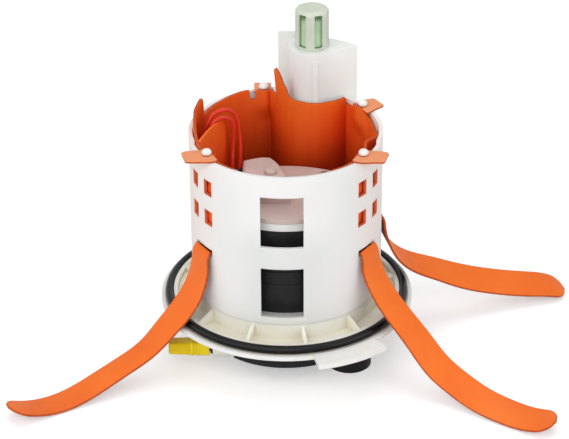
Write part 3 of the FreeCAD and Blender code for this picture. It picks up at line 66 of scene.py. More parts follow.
# Camera, solved from the photograph's round rims
PHOTO_WIDTH = 569
FOCAL_PIXELS = 2210.0
CAMERA_DISTANCE = 1400.0
CAMERA_PITCH = 29.26
CAMERA_ROLL = -0.33
CAMERA_HEADING = 1.0
CAMERA_TARGET = (-1.09, 0.0, 51.1)

# Main sizes of the part, as in its source
POT_RADIUS = 60.3
RIM_FRONT = 112.7
RIM_REAR = 115.5
COLLAR_RADIUS = 72.5
SEAL_SECTION = 5.3
SEAL_GAP = 0.05
SEAL_SINK = 1.35
SEAL_FLASH = 0.03
SEAL_RADIUS = COLLAR_RADIUS + SEAL_SECTION / 2 + SEAL_GAP
SEAL_LEVEL = SEAL_SECTION / 2 - SEAL_SINK
MAT_THICK = 1.5
TAB_THICK = 1.1
TAB_LIFT = 0.12
MAT_MIDDLE = 56.75
MAT_BASE = 16.0
MAT_PEAK = 136.5
MAT_REAR = 117.3
MAT_FRONT = 112.4
RECESS = (17.4, 61.5)
RECESS_MIDDLE = 27.95
RIVET_CIRCLE = 57.0
RIVET_PLACES = ((-56.7, RIM_FRONT), (56.7, RIM_FRONT), (-164.8, RIM_REAR), (122.4, RIM_REAR))
RIVET_SHANK = 5.4
COVER_TOP = 79.3
LEAD_DIAMETER = 2.4
OUTLET_Y = -40.8
OUTLET_LEVEL = -18.0
CAP_BORE = 3.25
CAP_BORE_CORNER = 3.2
CAP_MOUTH = -48.1
CAP_BORE_FLOOR = -63.6

# Stations of an arm: distance out from the pot's axis, distance to the side, height, twist
ARM_ROOT = ((60.1, 0.0, 49.6, 0), (61.6, 0.0, 47.6, 0), (63.1, 0.0, 39.8, 0))
ARM_LEFT = ((65.0, -0.4, 28.6, 0), (74.0, -1.5, 11.5, -8), (87.0, -3.0, -2.0, -4),
            (100.5, -4.5, -14.0, 2), (117.0, -6.0, -22.0, 2), (134.0, -7.0, -28.5, 0),
            (151.0, -8.0, -34.0, 0), (165.0, -8.5, -35.4, 0), (181.0, -8.5, -32.5, 2),
            (196.0, -7.5, -25.6, 2))
ARM_RIGHT = ((66.2, -0.5, 32.0, 2), (76.5, -1.5, 18.2, 6), (89.0, -2.1, 6.5, 8),
             (101.7, -2.6, -5.0, 13), (114.3, -3.2, -16.4, 17), (129.5, -3.5, -24.4, 18),
             (145.8, -3.7, -30.1, 18), (163.1, -3.8, -32.4, 16), (181.1, -3.7, -32.0, 15),
             (198.0, -3.3, -27.3, 10))
ARM_REAR = ((65.6, 0.0, 30.0, 0), (75.2, 0.5, 14.0, 8), (87.5, 0.9, 4.8, 16),
            (100.5, 1.2, -1.5, 21), (113.6, 1.4, -7.9, 26), (127.0, 1.7, -13.5, 28),
            (140.5, 1.9, -18.0, 28), (154.2, 2.1, -21.8, 28), (168.0, 2.2, -24.9, 27),
            (181.9, 2.4, -28.2, 22), (194.0, 2.7, -33.4, 12))
ARM_WIDTH = 20.0
ARM_ROOT_WIDTH = 17.0
ARM_THICK = 1.5
ARM_RAMP = 13
ARM_STEP = 1.6
ARMS = (("arm_left", ARM_LEFT, -57.3), ("arm_right", ARM_RIGHT, 57.3),
        ("arm_rear", ARM_REAR, 106.0))
# Points round an arm's section, and the sides between them that are the strip's flat faces
SECTION_POINTS = 16
FLAT_SIDES = (3, 11)

LEAD_ROUTES = {
    "heater_lead_inner": ((-53.2, -12.9, 83.0), (-50.8, -4.5, 91.0), (-48.6, 3.0, 100.0),
                          (-46.9, 5.2, 115.3), (-42.0, 7.6, 119.0), (-36.0, 10.5, 118.0),
                          (-32.3, 12.3, 113.0), (-33.4, 10.5, 97.0), (-33.8, 5.5, 88.0),
                          (-33.8, 5.5, 77.5)),
    "heater_lead_outer": ((-53.3, -11.5, 74.0), (-52.8, -2.0, 92.0), (-52.0, 4.5, 106.0),
                          (-47.6, 7.8, 119.3), (-41.3, 10.8, 122.9), (-34.6, 14.2, 121.4),
                          (-30.2, 15.8, 115.2), (-28.6, 12.6, 99.0), (-28.9, 9.2, 89.0),
                          (-29.8, 9.2, 77.5)),
}
LEAD_HOLES = ((-33.8, 5.5), (-29.8, 9.2))

# Lamps by name, place, size and power, and what the world and the floor add
LIGHTS = (("key", (-0.45, -1.75, 1.25), (2.4, 1.8), 25.0),
          ("fill", (1.5, -0.9, 0.7), (1.4, 1.4), 10.0),
          ("side", (-1.6, -0.6, 0.7), (1.4, 1.4), 8.0),
          ("top", (0.1, 0.4, 1.9), (1.6, 1.6), 13.0))
LIGHT_TARGET = (0, 0, 0.04)
WORLD_STRENGTH = 0.30
FLOOR_REACH = 6.0
FLOOR_GAP = 0.0002
FLOOR_LIFT = 0.36


def heading_point(radius, heading, z=0.0):
    angle = math.radians(heading)
    return Vector((radius * math.sin(angle), -radius * math.cos(angle), z))


def rivet_places():
    return [heading_point(RIVET_CIRCLE, heading, rim) for heading, rim in RIVET_PLACES]


# Camera and stage

def add_camera():
    """The photograph's view: turned about the target by heading, pitch and roll."""
    pitch = math.radians(CAMERA_PITCH)
    roll = math.radians(CAMERA_ROLL)
    forward = Vector((0, math.cos(pitch), -math.sin(pitch)))
    level = Vector((1, 0, 0))
    steep = Vector((0, math.sin(pitch), math.cos(pitch)))
    right = level * math.cos(roll) + steep * math.sin(roll)
    up = steep * math.cos(roll) - level * math.sin(roll)
    place = Vector((CAMERA_TARGET[0], CAMERA_TARGET[1], 0)) - forward * CAMERA_DISTANCE
    place.z = CAMERA_TARGET[2] + CAMERA_DISTANCE * math.sin(pitch)
    turn = Matrix.Rotation(math.radians(CAMERA_HEADING), 3, "Z")
    axes = Matrix((turn @ right, turn @ up, turn @ -forward)).transposed()
    camera = bpy.data.cameras.new("camera")
    camera.sensor_fit = "HORIZONTAL"
    camera.sensor_width = 36.0
    camera.lens = FOCAL_PIXELS / PHOTO_WIDTH * camera.sensor_width
    camera.clip_end = 20.0
    item = bpy.data.objects.new("camera", camera)
    bpy.context.scene.collection.objects.link(item)
    item.matrix_world = Matrix.Translation((turn @ place) * MM) @ axes.to_4x4()
    bpy.context.scene.camera = item


def area_light(name, place, size, power):
    lamp = bpy.data.lights.new(name, "AREA")
    lamp.shape = "RECTANGLE"
    lamp.size, lamp.size_y = size
    lamp.energy = power
    item = bpy.data.objects.new(name, lamp)
    bpy.context.scene.collection.objects.link(item)
    item.location = place
    way = Vector(LIGHT_TARGET) - Vector(place)
    item.rotation_euler = way.to_track_quat("-Z", "Y").to_euler()


def add_world():
    """Soft surrounding light, and plain white wherever the background itself is seen."""
    world = bpy.data.worlds.new("studio")
    bpy.context.scene.world = world
    world.use_nodes = True
    tree = world.node_tree
    tree.nodes.clear()
    out = tree.nodes.new("ShaderNodeOutputWorld")
    mix = tree.nodes.new("ShaderNodeMixShader")
    soft = tree.nodes.new("ShaderNodeBackground")
    white = tree.nodes.new("ShaderNodeBackground")
    path = tree.nodes.new("ShaderNodeLightPath")
    seen = tree.nodes.new("ShaderNodeMath")
    more = tree.nodes.new("ShaderNodeMath")
    soft.inputs["Color"].default_value = (0.96, 0.98, 1.0, 1)
    soft.inputs["Strength"].default_value = WORLD_STRENGTH
    white.inputs["Color"].default_value = (1, 1, 1, 1)
    white.inputs["Strength"].default_value = 1.0
    seen.operation = "MAXIMUM"
    more.operation = "MAXIMUM"
    tree.links.new(path.outputs["Is Camera Ray"], seen.inputs[0])
    tree.links.new(path.outputs["Is Glossy Ray"], seen.inputs[1])
    tree.links.new(seen.outputs[0], more.inputs[0])
    tree.links.new(path.outputs["Is Transmission Ray"], more.inputs[1])
    tree.links.new(more.outputs[0], mix.inputs["Fac"])
    tree.links.new(soft.outputs[0], mix.inputs[1])
    tree.links.new(white.outputs[0], mix.inputs[2])
    tree.links.new(mix.outputs[0], out.inputs["Surface"])


def add_floor():
    mesh = bpy.data.meshes.new("floor")
    reach = FLOOR_REACH
    low = cad_box[0][2] - FLOOR_GAP
    mesh.from_pydata([(-reach, -reach, low), (reach, -reach, low), (reach, reach, low),
                      (-reach, reach, low)], [], [(0, 1, 2, 3)])
    floor = bpy.data.objects.new("floor", mesh)
    bpy.context.scene.collection.objects.link(floor)
    item = bpy.data.materials.new("floor_white")
    item.use_nodes = True
    tree = item.node_tree
    shader = tree.nodes["Principled BSDF"]
    shader.inputs["Base Color"].default_value = (0.86, 0.86, 0.86, 1)
    shader.inputs["Roughness"].default_value = 0.9
    shader.inputs["Specular IOR Level"].default_value = 0.1
    shader.inputs["Emission Color"].default_value = (1, 1, 1, 1)
    path = tree.nodes.new("ShaderNodeLightPath")
    lift = tree.nodes.new("ShaderNodeMath")
    lift.operation = "MULTIPLY"
    lift.inputs[1].default_value = FLOOR_LIFT
    tree.links.new(path.outputs["Is Camera Ray"], lift.inputs[0])
    tree.links.new(lift.outputs[0], shader.inputs["Emission Strength"])
    floor.data.materials.append(item)


def add_lights():
    for light in LIGHTS:
        area_light(*light)


# Materials

class Surface:
    """A procedural material, with short calls for the nodes it is made from."""

    def __init__(self, name):
        self.item = bpy.data.materials.new(name)
        self.item.use_nodes = True
        self.tree = self.item.node_tree
        self.shader = self.tree.nodes["Principled BSDF"]
        self.place = self.node("ShaderNodeTexCoord").outputs["Object"]
        self.normal = None

    def node(self, kind, **settings):
        item = self.tree.nodes.new(kind)
        for key, value in settings.items():
            setattr(item, key, value)
        return item

    def link(self, source, target):
        self.tree.links.new(source, target)

    def set(self, **values):
        for key, value in values.items():
            name = key.replace("_", " ")
            self.shader.inputs[name].default_value = value
        return self

    def noise(self, scale, detail=3.0, rough=0.5, stretch=None):
        item = self.node("ShaderNodeTexNoise")
        item.inputs["Scale"].default_value = scale
        item.inputs["Detail"].default_value = detail
        item.inputs["Roughness"].default_value = rough
        place = self.place
        if stretch:
            mapping = self.node("ShaderNodeMapping")
            mapping.inputs["Scale"].default_value = stretch
            self.link(place, mapping.inputs["Vector"])
            place = mapping.outputs["Vector"]
        self.link(place, item.inputs["Vector"])
        return item.outputs["Fac"]

    def math(self, operation, first, second=None):
        item = self.node("ShaderNodeMath", operation=operation)
        for number, value in enumerate((first, second)):
            if value is None:
                continue
            if isinstance(value, (int, float)):
                item.inputs[number].default_value = value
            else:
                self.link(value, item.inputs[number])
        return item.outputs[0]

    def ramp(self, factor, stops):
        item = self.node("ShaderNodeValToRGB")
        while len(item.color_ramp.elements) < len(stops):
            item.color_ramp.elements.new(0.5)
        for element, (position, colour) in zip(item.color_ramp.elements, stops):
            element.position = position
            element.color = (*colour, 1.0)
        self.link(factor, item.inputs["Fac"])
        return item.outputs["Color"]

    def span(self, factor, low, high, to_low=0.0, to_high=1.0):
        item = self.node("ShaderNodeMapRange")
        for name, value in (("From Min", low), ("From Max", high), ("To Min", to_low),
                            ("To Max", to_high)):
            item.inputs[name].default_value = value
        self.link(factor, item.inputs["Value"])
        return item.outputs["Result"]

    def mix(self, factor, first, second, blend="MIX"):
        item = self.node("ShaderNodeMix", data_type="RGBA", blend_type=blend)
        for socket, value in ((item.inputs[0], factor), (item.inputs[6], first),
                              (item.inputs[7], second)):
            if isinstance(value, (int, float)):
                socket.default_value = value
            elif isinstance(value, tuple):
                socket.default_value = (*value, 1.0)
            else:
                self.link(value, socket)
        return item.outputs[2]

    def radius(self):
        """Distance from the pot's axis, in metres."""
        flat = self.node("ShaderNodeVectorMath", operation="MULTIPLY")
        flat.inputs[1].default_value = (1, 1, 0)
        self.link(self.place, flat.inputs[0])
        length = self.node("ShaderNodeVectorMath", operation="LENGTH")
        self.link(flat.outputs[0], length.inputs[0])
        return length.outputs["Value"]

    def axis(self, letter):
        """One coordinate of the part's own frame, in metres."""
        parts = self.node("ShaderNodeSeparateXYZ")
        self.link(self.place, parts.inputs[0])
        return parts.outputs[letter]

    def height(self):
        return self.axis("Z")

    def hidden(self, reach, low, high):
        """How far a place lies in a corner or hollow, by occlusion: 1 when well inside, 0 in the
        open; the mask for painted shade.
        """
        item = self.node("ShaderNodeAmbientOcclusion", samples=6)
        item.inputs["Distance"].default_value = reach
        return self.span(item.outputs["AO"], low, high, 1.0, 0.0)

    def edge(self, radius):
        """Rounds sharp edges in the shading, by a radius in metres."""
        item = self.node("ShaderNodeBevel", samples=4)
        item.inputs["Radius"].default_value = radius
        self.normal = item.outputs["Normal"]
        return self

    def bump(self, height, depth, distance=0.0005):
        item = self.node("ShaderNodeBump")
        item.inputs["Strength"].default_value = depth
        item.inputs["Distance"].default_value = distance
        self.link(height, item.inputs["Height"])
        if self.normal is not None:
            self.link(self.normal, item.inputs["Normal"])
        self.normal = item.outputs["Normal"]
        return self

    def colour(self, source):
        self.link(source, self.shader.inputs["Base Color"])
        return self

    def roughness(self, source):
        self.link(source, self.shader.inputs["Roughness"])
        return self

    def finish(self):
        if self.normal is not None:
            self.link(self.normal, self.shader.inputs["Normal"])
        return self.item


def moulded(name, dark, light, rough=(0.35, 0.5), patch=60.0, grain=0.12, grain_size=2500.0,
            edge=0.0005, soft=0.0, soft_colour=(0.003, 0.002, 0.0015), gloss=0.4):
    """Moulded plastic: faint patches of tone, a fine grain and softly rounded edges."""
    s = Surface(name)
    tone = s.noise(patch, 4.0, 0.55)
    s.colour(s.ramp(tone, ((0.3, dark), (0.7, light))))
    fine = s.noise(grain_size, 2.0, 0.6)
    wear = s.noise(patch * 3, 5.0, 0.6)
    s.roughness(s.span(wear, 0.3, 0.7, rough[0], rough[1]))
    s.edge(edge)
    s.bump(fine, grain, 0.0001)
    s.bump(s.noise(patch * 0.7, 2.0, 0.4), 0.25, 0.0003)
    s.set(Specular_IOR_Level=gloss)
    if soft:
        s.set(Subsurface_Weight=soft, Subsurface_Radius=soft_colour, Subsurface_Scale=1.0)
    return s.finish()


def silicone(name="silicone_orange", painted_deep_shade=False, painted_sheen=0.0):
    """Orange heater silicone, satin, with a faint press texture; painted shade, dark red-brown, in
    hollows; a painted sheen on upward faces.
    """
    s = Surface(name)
    tone = s.noise(26.0, 3.0, 0.5)
    fine = s.noise(900.0, 3.0, 0.6)
    base = s.ramp(tone, ((0.28, (0.80, 0.135, 0.010)), (0.72, (0.89, 0.180, 0.018))))
    lit = s.mix(s.span(fine, 0.35, 0.75, 0.0, 0.06), base, (0.93, 0.28, 0.07))
    # Painted sheen: faces that look upward are paler and pinker, as if catching the light
    if painted_sheen:
        upward = s.node("ShaderNodeSeparateXYZ")
        s.link(s.node("ShaderNodeNewGeometry").outputs["Normal"], upward.inputs[0])
        lit = s.mix(s.span(upward.outputs["Z"], 0.75, 0.95, 0.0, painted_sheen), lit, (0.80, 0.34, 0.17))
    # Painted shade: dark red in hollows by occlusion, then a dark red-brown shade in hollows that
    # grows lower down inside the pot
    if painted_deep_shade:
        lit = s.mix(s.math("MULTIPLY", s.hidden(0.060, 0.30, 0.95), 0.95), lit,
                    (0.80, 0.042, 0.003))
        low = s.span(s.height(), 0.082, 0.108, 0.95, 0.35)
        shade = s.math("MULTIPLY", low, s.hidden(0.060, 0.08, 0.48))
    else:
        # Painted shade in hollows, by occlusion
        shade = s.math("MULTIPLY", s.hidden(0.05, 0.12, 0.72), 0.9)
    # Mix in the painted shade colour, dark red-brown
    s.colour(s.mix(shade, lit, (0.17, 0.009, 0.0015)))
    s.roughness(s.span(s.noise(120.0, 4.0, 0.6), 0.3, 0.7, 0.42, 0.60))
    s.bump(s.noise(2200.0, 2.0, 0.6), 0.16, 0.0001)
    s.bump(s.noise(45.0, 2.0, 0.4), 0.22, 0.0006)
    s.set(Subsurface_Weight=0.08, Subsurface_Radius=(0.003, 0.0008, 0.0003), Subsurface_Scale=1.0,
          Specular_IOR_Level=0.26)
    return s.finish()


def silicone_edge():
    """The cut edge of the silicone sheet, painted darker than its faces as shade."""
    s = Surface("silicone_edge")
    # Painted shade: the edge colour is a darker, shaded copy of the silicone
    s.colour(s.ramp(s.noise(300.0, 3.0, 0.6), ((0.3, (0.40, 0.055, 0.006)),
                                               (0.7, (0.58, 0.095, 0.012)))))
    s.set(Roughness=0.55, Specular_IOR_Level=0.25)
    return s.finish()


def flange_plastic():
    """Natural nylon: milky outside and creamier down in the ring, partly the nylon's own tone and
    partly painted shade; painted shade, a darker cream, in corners and between the ribs.
    """
    s = Surface("flange_nylon")
    across = s.radius()
    # Creamier inside the ring: the nylon's own tone together with painted shade of the ring's
    # recess
    inner = s.span(across, 0.0718, 0.0732, 0.0, 1.0)
    tone = s.noise(42.0, 4.0, 0.55)
    cream = s.ramp(tone, ((0.3, (0.78, 0.75, 0.63)), (0.7, (0.86, 0.84, 0.76))))
    milk = s.ramp(tone, ((0.3, (0.80, 0.79, 0.75)), (0.7, (0.87, 0.86, 0.83))))
    base = s.mix(inner, cream, milk)
    # Painted shade: darker cream in corners and between the ribs, by occlusion
    s.colour(s.mix(s.math("MULTIPLY", s.hidden(0.010, 0.15, 0.75), 0.45), base,
                   (0.62, 0.55, 0.37)))
    s.roughness(s.span(s.noise(150.0, 4.0, 0.6), 0.3, 0.7, 0.30, 0.48))
    s.edge(0.0006)
    s.bump(s.noise(1800.0, 2.0, 0.6), 0.10, 0.0001)
    s.set(Subsurface_Weight=0.25, Subsurface_Radius=(0.006, 0.005, 0.003), Subsurface_Scale=1.0)
    return s.finish()


def pot_plastic():
    """Milky pot wall: cool grey-white with faint random pinkish patches, creamier low down;
    painted shade in the middle and painted orange light at the sides.
    """
    s = Surface("pot_polyethylene")
    tone = s.noise(16.0, 3.0, 0.5)
    milk = s.ramp(tone, ((0.25, (0.78, 0.80, 0.78)), (0.5, (0.84, 0.83, 0.82)),
                         (0.75, (0.87, 0.83, 0.82))))
    up = s.height()
    aside = s.math("ABSOLUTE", s.axis("X"))
    low = s.span(up, 0.008, 0.030, 0.45, 0.0)
    base = s.mix(low, milk, (0.82, 0.80, 0.71))
    # Painted shade in the middle, where the dark pump housing shows faintly through the wall;
    # painted orange light at the sides, where the liner shows through
    painted_unit_shade = s.math("MULTIPLY", s.span(aside, 0.016, 0.036, 0.34, 0.0),
                  s.span(up, 0.060, 0.082, 1.0, 0.0))
    base = s.mix(painted_unit_shade, base, (0.55, 0.57, 0.55))
    # Painted orange light from the liner, coming through the wall at the sides
    painted_liner_glow = s.math("MULTIPLY", s.span(aside, 0.034, 0.058, 0.0, 0.42),
                  s.span(up, 0.030, 0.060, 0.2, 1.0))
    base = s.mix(painted_liner_glow, base, (0.92, 0.74, 0.62))
    # Painted orange bounce light on the inner face and the window reveals of the wall at the sides
    painted_orange_bounce = s.math("MULTIPLY", s.span(s.radius(), 0.0600, 0.0602, 0.9, 0.0),
                    s.math("MULTIPLY", s.span(aside, 0.024, 0.026, 0.0, 1.0),
                           s.math("MULTIPLY", s.span(up, 0.060, 0.062, 0.0, 1.0),
                                  s.span(up, 0.1075, 0.1085, 1.0, 0.0))))
    s.colour(s.mix(painted_orange_bounce, base, (0.72, 0.13, 0.012)))
    s.roughness(s.span(s.noise(90.0, 4.0, 0.6), 0.3, 0.7, 0.30, 0.46))
    s.edge(0.0005)
    s.bump(s.noise(1500.0, 2.0, 0.6), 0.08, 0.0001)
    s.bump(s.noise(30.0, 2.0, 0.4, stretch=(1, 1, 0.25)), 0.2, 0.0006)
    s.set(Subsurface_Weight=0.35, Subsurface_Radius=(0.006, 0.005, 0.0045), Subsurface_Scale=1.0)
    return s.finish()


def seal_rubber():
    """Glossy black rubber with a faint bloom and a moulding seam round its middle."""
    s = Surface("seal_rubber")
    bloom = s.noise(140.0, 5.0, 0.65)
    s.colour(s.ramp(bloom, ((0.35, (0.0015, 0.0015, 0.002)), (0.8, (0.006, 0.005, 0.007)))))
    s.roughness(s.span(bloom, 0.3, 0.75, 0.20, 0.32))
    s.bump(s.noise(1200.0, 2.0, 0.6), 0.06, 0.0001)
    s.set(Specular_IOR_Level=0.20)
    return s.finish()


def cage_plastic():
    """Thin natural plastic that lets light through."""
    s = Surface("cage_clear")
    tone = s.noise(70.0, 3.0, 0.5)
    s.colour(s.ramp(tone, ((0.3, (0.65, 0.71, 0.58)), (0.7, (0.71, 0.76, 0.63)))))
    s.roughness(s.span(s.noise(200.0, 4.0, 0.6), 0.3, 0.7, 0.26, 0.40))
    s.edge(0.0004)
    s.set(Transmission_Weight=0.15, IOR=1.48, Subsurface_Weight=0.3,
          Subsurface_Radius=(0.003, 0.003, 0.0025), Subsurface_Scale=1.0)
    return s.finish()


def steel(name, shade=0.55, rough=(0.22, 0.38)):
    s = Surface(name)
    lines = s.noise(300.0, 3.0, 0.6, stretch=(1, 1, 14))
    s.colour(s.ramp(lines, ((0.3, (shade * 0.85, shade * 0.86, shade * 0.88)),
                            (0.7, (shade, shade, shade * 1.01)))))
    s.roughness(s.span(lines, 0.3, 0.7, rough[0], rough[1]))
    s.edge(0.0002)
    s.bump(lines, 0.05, 0.0001)
    s.set(Metallic=1.0)
    return s.finish()


def filter_paper():
    s = Surface("filter_paper")
    fibre = s.noise(1400.0, 4.0, 0.7)
    s.colour(s.ramp(fibre, ((0.3, (0.72, 0.68, 0.55)), (0.7, (0.86, 0.83, 0.74)))))
    s.bump(fibre, 0.4, 0.0002)
    s.set(Roughness=0.9)
    return s.finish()


def board_surface():
    """Green solder mask with copper tracks in a fine pattern."""
    s = Surface("circuit_board")
    cells = s.node("ShaderNodeTexVoronoi", feature="DISTANCE_TO_EDGE")
    cells.inputs["Scale"].default_value = 260.0
    s.link(s.place, cells.inputs["Vector"])
    track = s.span(cells.outputs["Distance"], 0.02, 0.06, 1.0, 0.0)
    s.colour(s.mix(track, (0.012, 0.085, 0.035), (0.03, 0.16, 0.07)))
    s.bump(track, 0.3, 0.0002)
    s.set(Roughness=0.35)
    return s.finish()


def make_materials():
    """One finish for each slot of the record."""
    black = moulded("black_nylon", (0.008, 0.008, 0.009), (0.017, 0.017, 0.018), (0.34, 0.5),
                    grain=0.25, grain_size=1600.0, edge=0.0006, gloss=0.24)
    return {
        "flange_cream": flange_plastic(),
        "seal_rubber": seal_rubber(),
        "pot_white": pot_plastic(),
        "heater_silicone": silicone(),
        "lead_jacket": moulded("lead_jacket", (0.58, 0.020, 0.006), (0.74, 0.036, 0.010),
                               (0.3, 0.42), patch=120.0, edge=0.0001, gloss=0.3),
        "silicone_liner": silicone("silicone_liner", painted_deep_shade=True),
        "silicone_tab": silicone("silicone_tab", painted_sheen=0.75),
        "silicone_edge": silicone_edge(),
        "rivet_white": moulded("rivet_white", (0.78, 0.76, 0.74), (0.88, 0.87, 0.85),
                               (0.3, 0.45), patch=200.0, edge=0.0003, soft=0.3),
        "unit_black": black,
        "ring_white": moulded("ring_white", (0.74, 0.73, 0.70), (0.84, 0.83, 0.81), edge=0.0005,
                              soft=0.2),
        "cover_beige": moulded("cover_beige", (0.54, 0.43, 0.39), (0.66, 0.55, 0.50),
                               (0.3, 0.42), patch=35.0, edge=0.0010, soft=0.15),
        "screw_steel": steel("screw_steel"),
        "grommet_rubber": moulded("grommet_rubber", (0.012, 0.012, 0.012), (0.03, 0.03, 0.03),
                                  (0.5, 0.65)),
        "motor_steel": steel("motor_steel", 0.5, (0.3, 0.45)),
        "magnet_dark": moulded("magnet_dark", (0.02, 0.02, 0.022), (0.05, 0.05, 0.052),
                               (0.5, 0.7), grain=0.5),
        "gear_plastic": moulded("gear_plastic", (0.62, 0.58, 0.44), (0.72, 0.68, 0.55),
                                edge=0.0003, soft=0.1),
        "filter_paper": filter_paper(),
        "tower_white": moulded("tower_white", (0.83, 0.85, 0.82), (0.89, 0.89, 0.86),
                               (0.28, 0.42), patch=22.0, edge=0.0008, soft=0.4,
                               soft_colour=(0.006, 0.0055, 0.0045)),
        "cage_clear": cage_plastic(),
        "float_green": moulded("float_green", (0.36, 0.55, 0.33), (0.48, 0.66, 0.44),
                               (0.4, 0.55), patch=90.0, edge=0.0005, soft=0.2),
        "board_green": board_surface(),
        "pin_brass": steel("pin_brass", 0.6),
        "cap_yellow": moulded("cap_yellow", (0.85, 0.60, 0.004), (0.92, 0.70, 0.010),
                              (0.35, 0.5), patch=80.0, edge=0.0006, gloss=0.25),
    }


def dress_nodes(finishes):
    """Give every CAD node its own slot's finish."""
    slots = {row["node"]: row["material_slot"] for row in frame["record"]["subparts"]}
    for name, item in frame["nodes"].items():
        item.data.materials.clear()
        item.data.materials.append(finishes[slots[name]])


# Mesh helpers

def new_object(name, mesh, finish):
    item = bpy.data.objects.new(name, mesh)
    bpy.context.scene.collection.objects.link(item)
    mesh.materials.append(finish)
    for face in mesh.polygons:
        face.use_smooth = True
    return item


def tube_of_rings(name, rings, finish, closed=False):
    """A skin over rings of points in millimetres, capped at both ends unless it is closed."""
    count = len(rings[0])
    points = [tuple(point * MM for point in place) for ring in rings for place in ring]
    faces = []
    last = len(rings) if closed else len(rings) - 1
    for row in range(last):
        here = row * count
        there = ((row + 1) % len(rings)) * count
        for column in range(count):
            beside = (column + 1) % count
            faces.append((here + column, here + beside, there + beside, there + column))
    if not closed:
        faces.append(tuple(reversed(range(count))))
        faces.append(tuple((len(rings) - 1) * count + column for column in range(count)))
    mesh = bpy.data.meshes.new(name)
    mesh.from_pydata(points, [], faces)
    mesh.validate()
    return new_object(name, mesh, finish)


def turned(name, profile, place, finish, segments=48):
    """A closed profile of radius and height, turned about an upright axis at a place."""
    rings = []
    for step in range(segments):
        angle = 2 * math.pi * step / segments
        rings.append([(place[0] + r * math.cos(angle), place[1] + r * math.sin(angle),
                       place[2] + z) for r, z in profile])
    return tube_of_rings(name, rings, finish, closed=True)


def joined(name, items):
    """One object from several."""
    mesh = bpy.data.meshes.new(name)
    built = bmesh.new()
    for item in items:
        built.from_mesh(item.data)
    built.to_mesh(mesh)
    built.free()
    finish = items[0].data.materials[0]
    for item in items:
        bpy.data.objects.remove(item)
    return new_object(name, mesh, finish)


def modifier(item, kind, **settings):
    added = item.modifiers.new(kind.lower(), kind)
    for key, value in settings.items():
        setattr(added, key, value)


def natural_spline(values, marks, places):
    """Cubic spline through values at marks, read at places."""
    marks = np.asarray(marks, float)
    values = np.asarray(values, float)
    count = len(marks)
    gaps = np.diff(marks)
    system = np.eye(count)
    right = np.zeros((count, values.shape[1]))
    for row in range(1, count - 1):
        system[row, row - 1:row + 2] = (gaps[row - 1], 2 * (gaps[row - 1] + gaps[row]), gaps[row])
        right[row] = 6 * ((values[row + 1] - values[row]) / gaps[row]
                          - (values[row] - values[row - 1]) / gaps[row - 1])
    bend = np.linalg.solve(system, right)
    piece = np.clip(np.searchsorted(marks, places, side="right") - 1, 0, count - 2)
    wide = gaps[piece][:, None]
    after = (np.asarray(places) - marks[piece])[:, None]
    before = wide - after
    return (bend[piece] * before ** 3 / (6 * wide) + bend[piece + 1] * after ** 3 / (6 * wide)
            + (values[piece] / wide - bend[piece] * wide / 6) * before
            + (values[piece + 1] / wide - bend[piece + 1] * wide / 6) * after)


# Heater arms

def arm_section(center, along, twist, width, thick):
    """A flat section with rounded edges, level across and then twisted."""
    side = Vector((0, 1, 0))
    level = (side - along * side.dot(along)).normalized()
    upward = along.cross(level).normalized()
    angle = math.radians(twist)
    wide = level * math.cos(angle) + upward * math.sin(angle)
    thin = along.cross(wide).normalized()
    edge = min(0.5, thick * 0.35)
    half_width = max(width / 2 - edge, 0.05)
    half_thick = thick / 2 - edge
    ring = []
    for sign_a, sign_b, start in ((1, 1, 0), (-1, 1, 90), (-1, -1, 180), (1, -1, 270)):
        for step in range(4):
            turn = math.radians(start + 30 * step)
            a = sign_a * half_width + edge * math.cos(turn)
            b = sign_b * half_thick + edge * math.sin(turn)
            ring.append(center + wide * a + thin * b)
    return ring


def make_arm(node, stations, heading, finish, edge):
    rows = np.array(ARM_ROOT + stations, float)
    marks = np.r_[0, np.cumsum(np.linalg.norm(np.diff(rows[:, :3], axis=0), axis=1))]
    count = int(marks[-1] / ARM_STEP)
    places = np.linspace(0, marks[-1], count + 1)
    line = natural_spline(rows[:, :3], marks, places)
    twists = np.interp(places, marks, rows[:, 3])
    twists = np.convolve(np.pad(twists, 6, mode="edge"), np.ones(13) / 13, mode="valid")
    ways = np.gradient(line, axis=0)
    turn = Matrix.Rotation(math.radians(heading - 90), 3, "Z")
    rings = []
    for place, point, way, twist in zip(places, line, ways, twists):
        width = ARM_ROOT_WIDTH + (ARM_WIDTH - ARM_ROOT_WIDTH) * min(1, place / ARM_RAMP)
        left = marks[-1] - place
        if left < ARM_WIDTH / 2:
            width *= math.sqrt(max(1 - (1 - left / (ARM_WIDTH / 2)) ** 2, 0.004))
        ring = arm_section(Vector(point), Vector(way).normalized(), twist, width, ARM_THICK)
        rings.append([turn @ corner for corner in ring])
    arm = tube_of_rings(node + "_strip", rings, finish)
    arm.data.materials.append(edge)
    for number, face in enumerate(arm.data.polygons):
        face.material_index = 0 if number % SECTION_POINTS in FLAT_SIDES else 1
    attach(arm, node)
    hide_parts(node)


def make_arms(finish, edge):
    for node, stations, heading in ARMS:
        make_arm(node, stations, heading, finish, edge)


# Leads, grommets, seal and rivets

def make_leads(finish):
    """The two wires, each one smooth spline from its joint on the mat into the cover."""
    for node, route in LEAD_ROUTES.items():
        curve = bpy.data.curves.new(node + "_wire", "CURVE")
        curve.dimensions = "3D"
        spline = curve.splines.new("NURBS")
        spline.points.add(len(route) - 1)
        for point, place in zip(spline.points, route):
            point.co = (*(value * MM for value in place), 1.0)
        spline.order_u = 3
        spline.use_endpoint_u = True
        spline.resolution_u = 16
        curve.bevel_depth = LEAD_DIAMETER / 2 * MM
        curve.bevel_resolution = 5
        curve.use_fill_caps = True
        wire = bpy.data.objects.new(node + "_wire", curve)
        bpy.context.scene.collection.objects.link(wire)
        curve.materials.append(finish)
        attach(wire, "module")
        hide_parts(node)


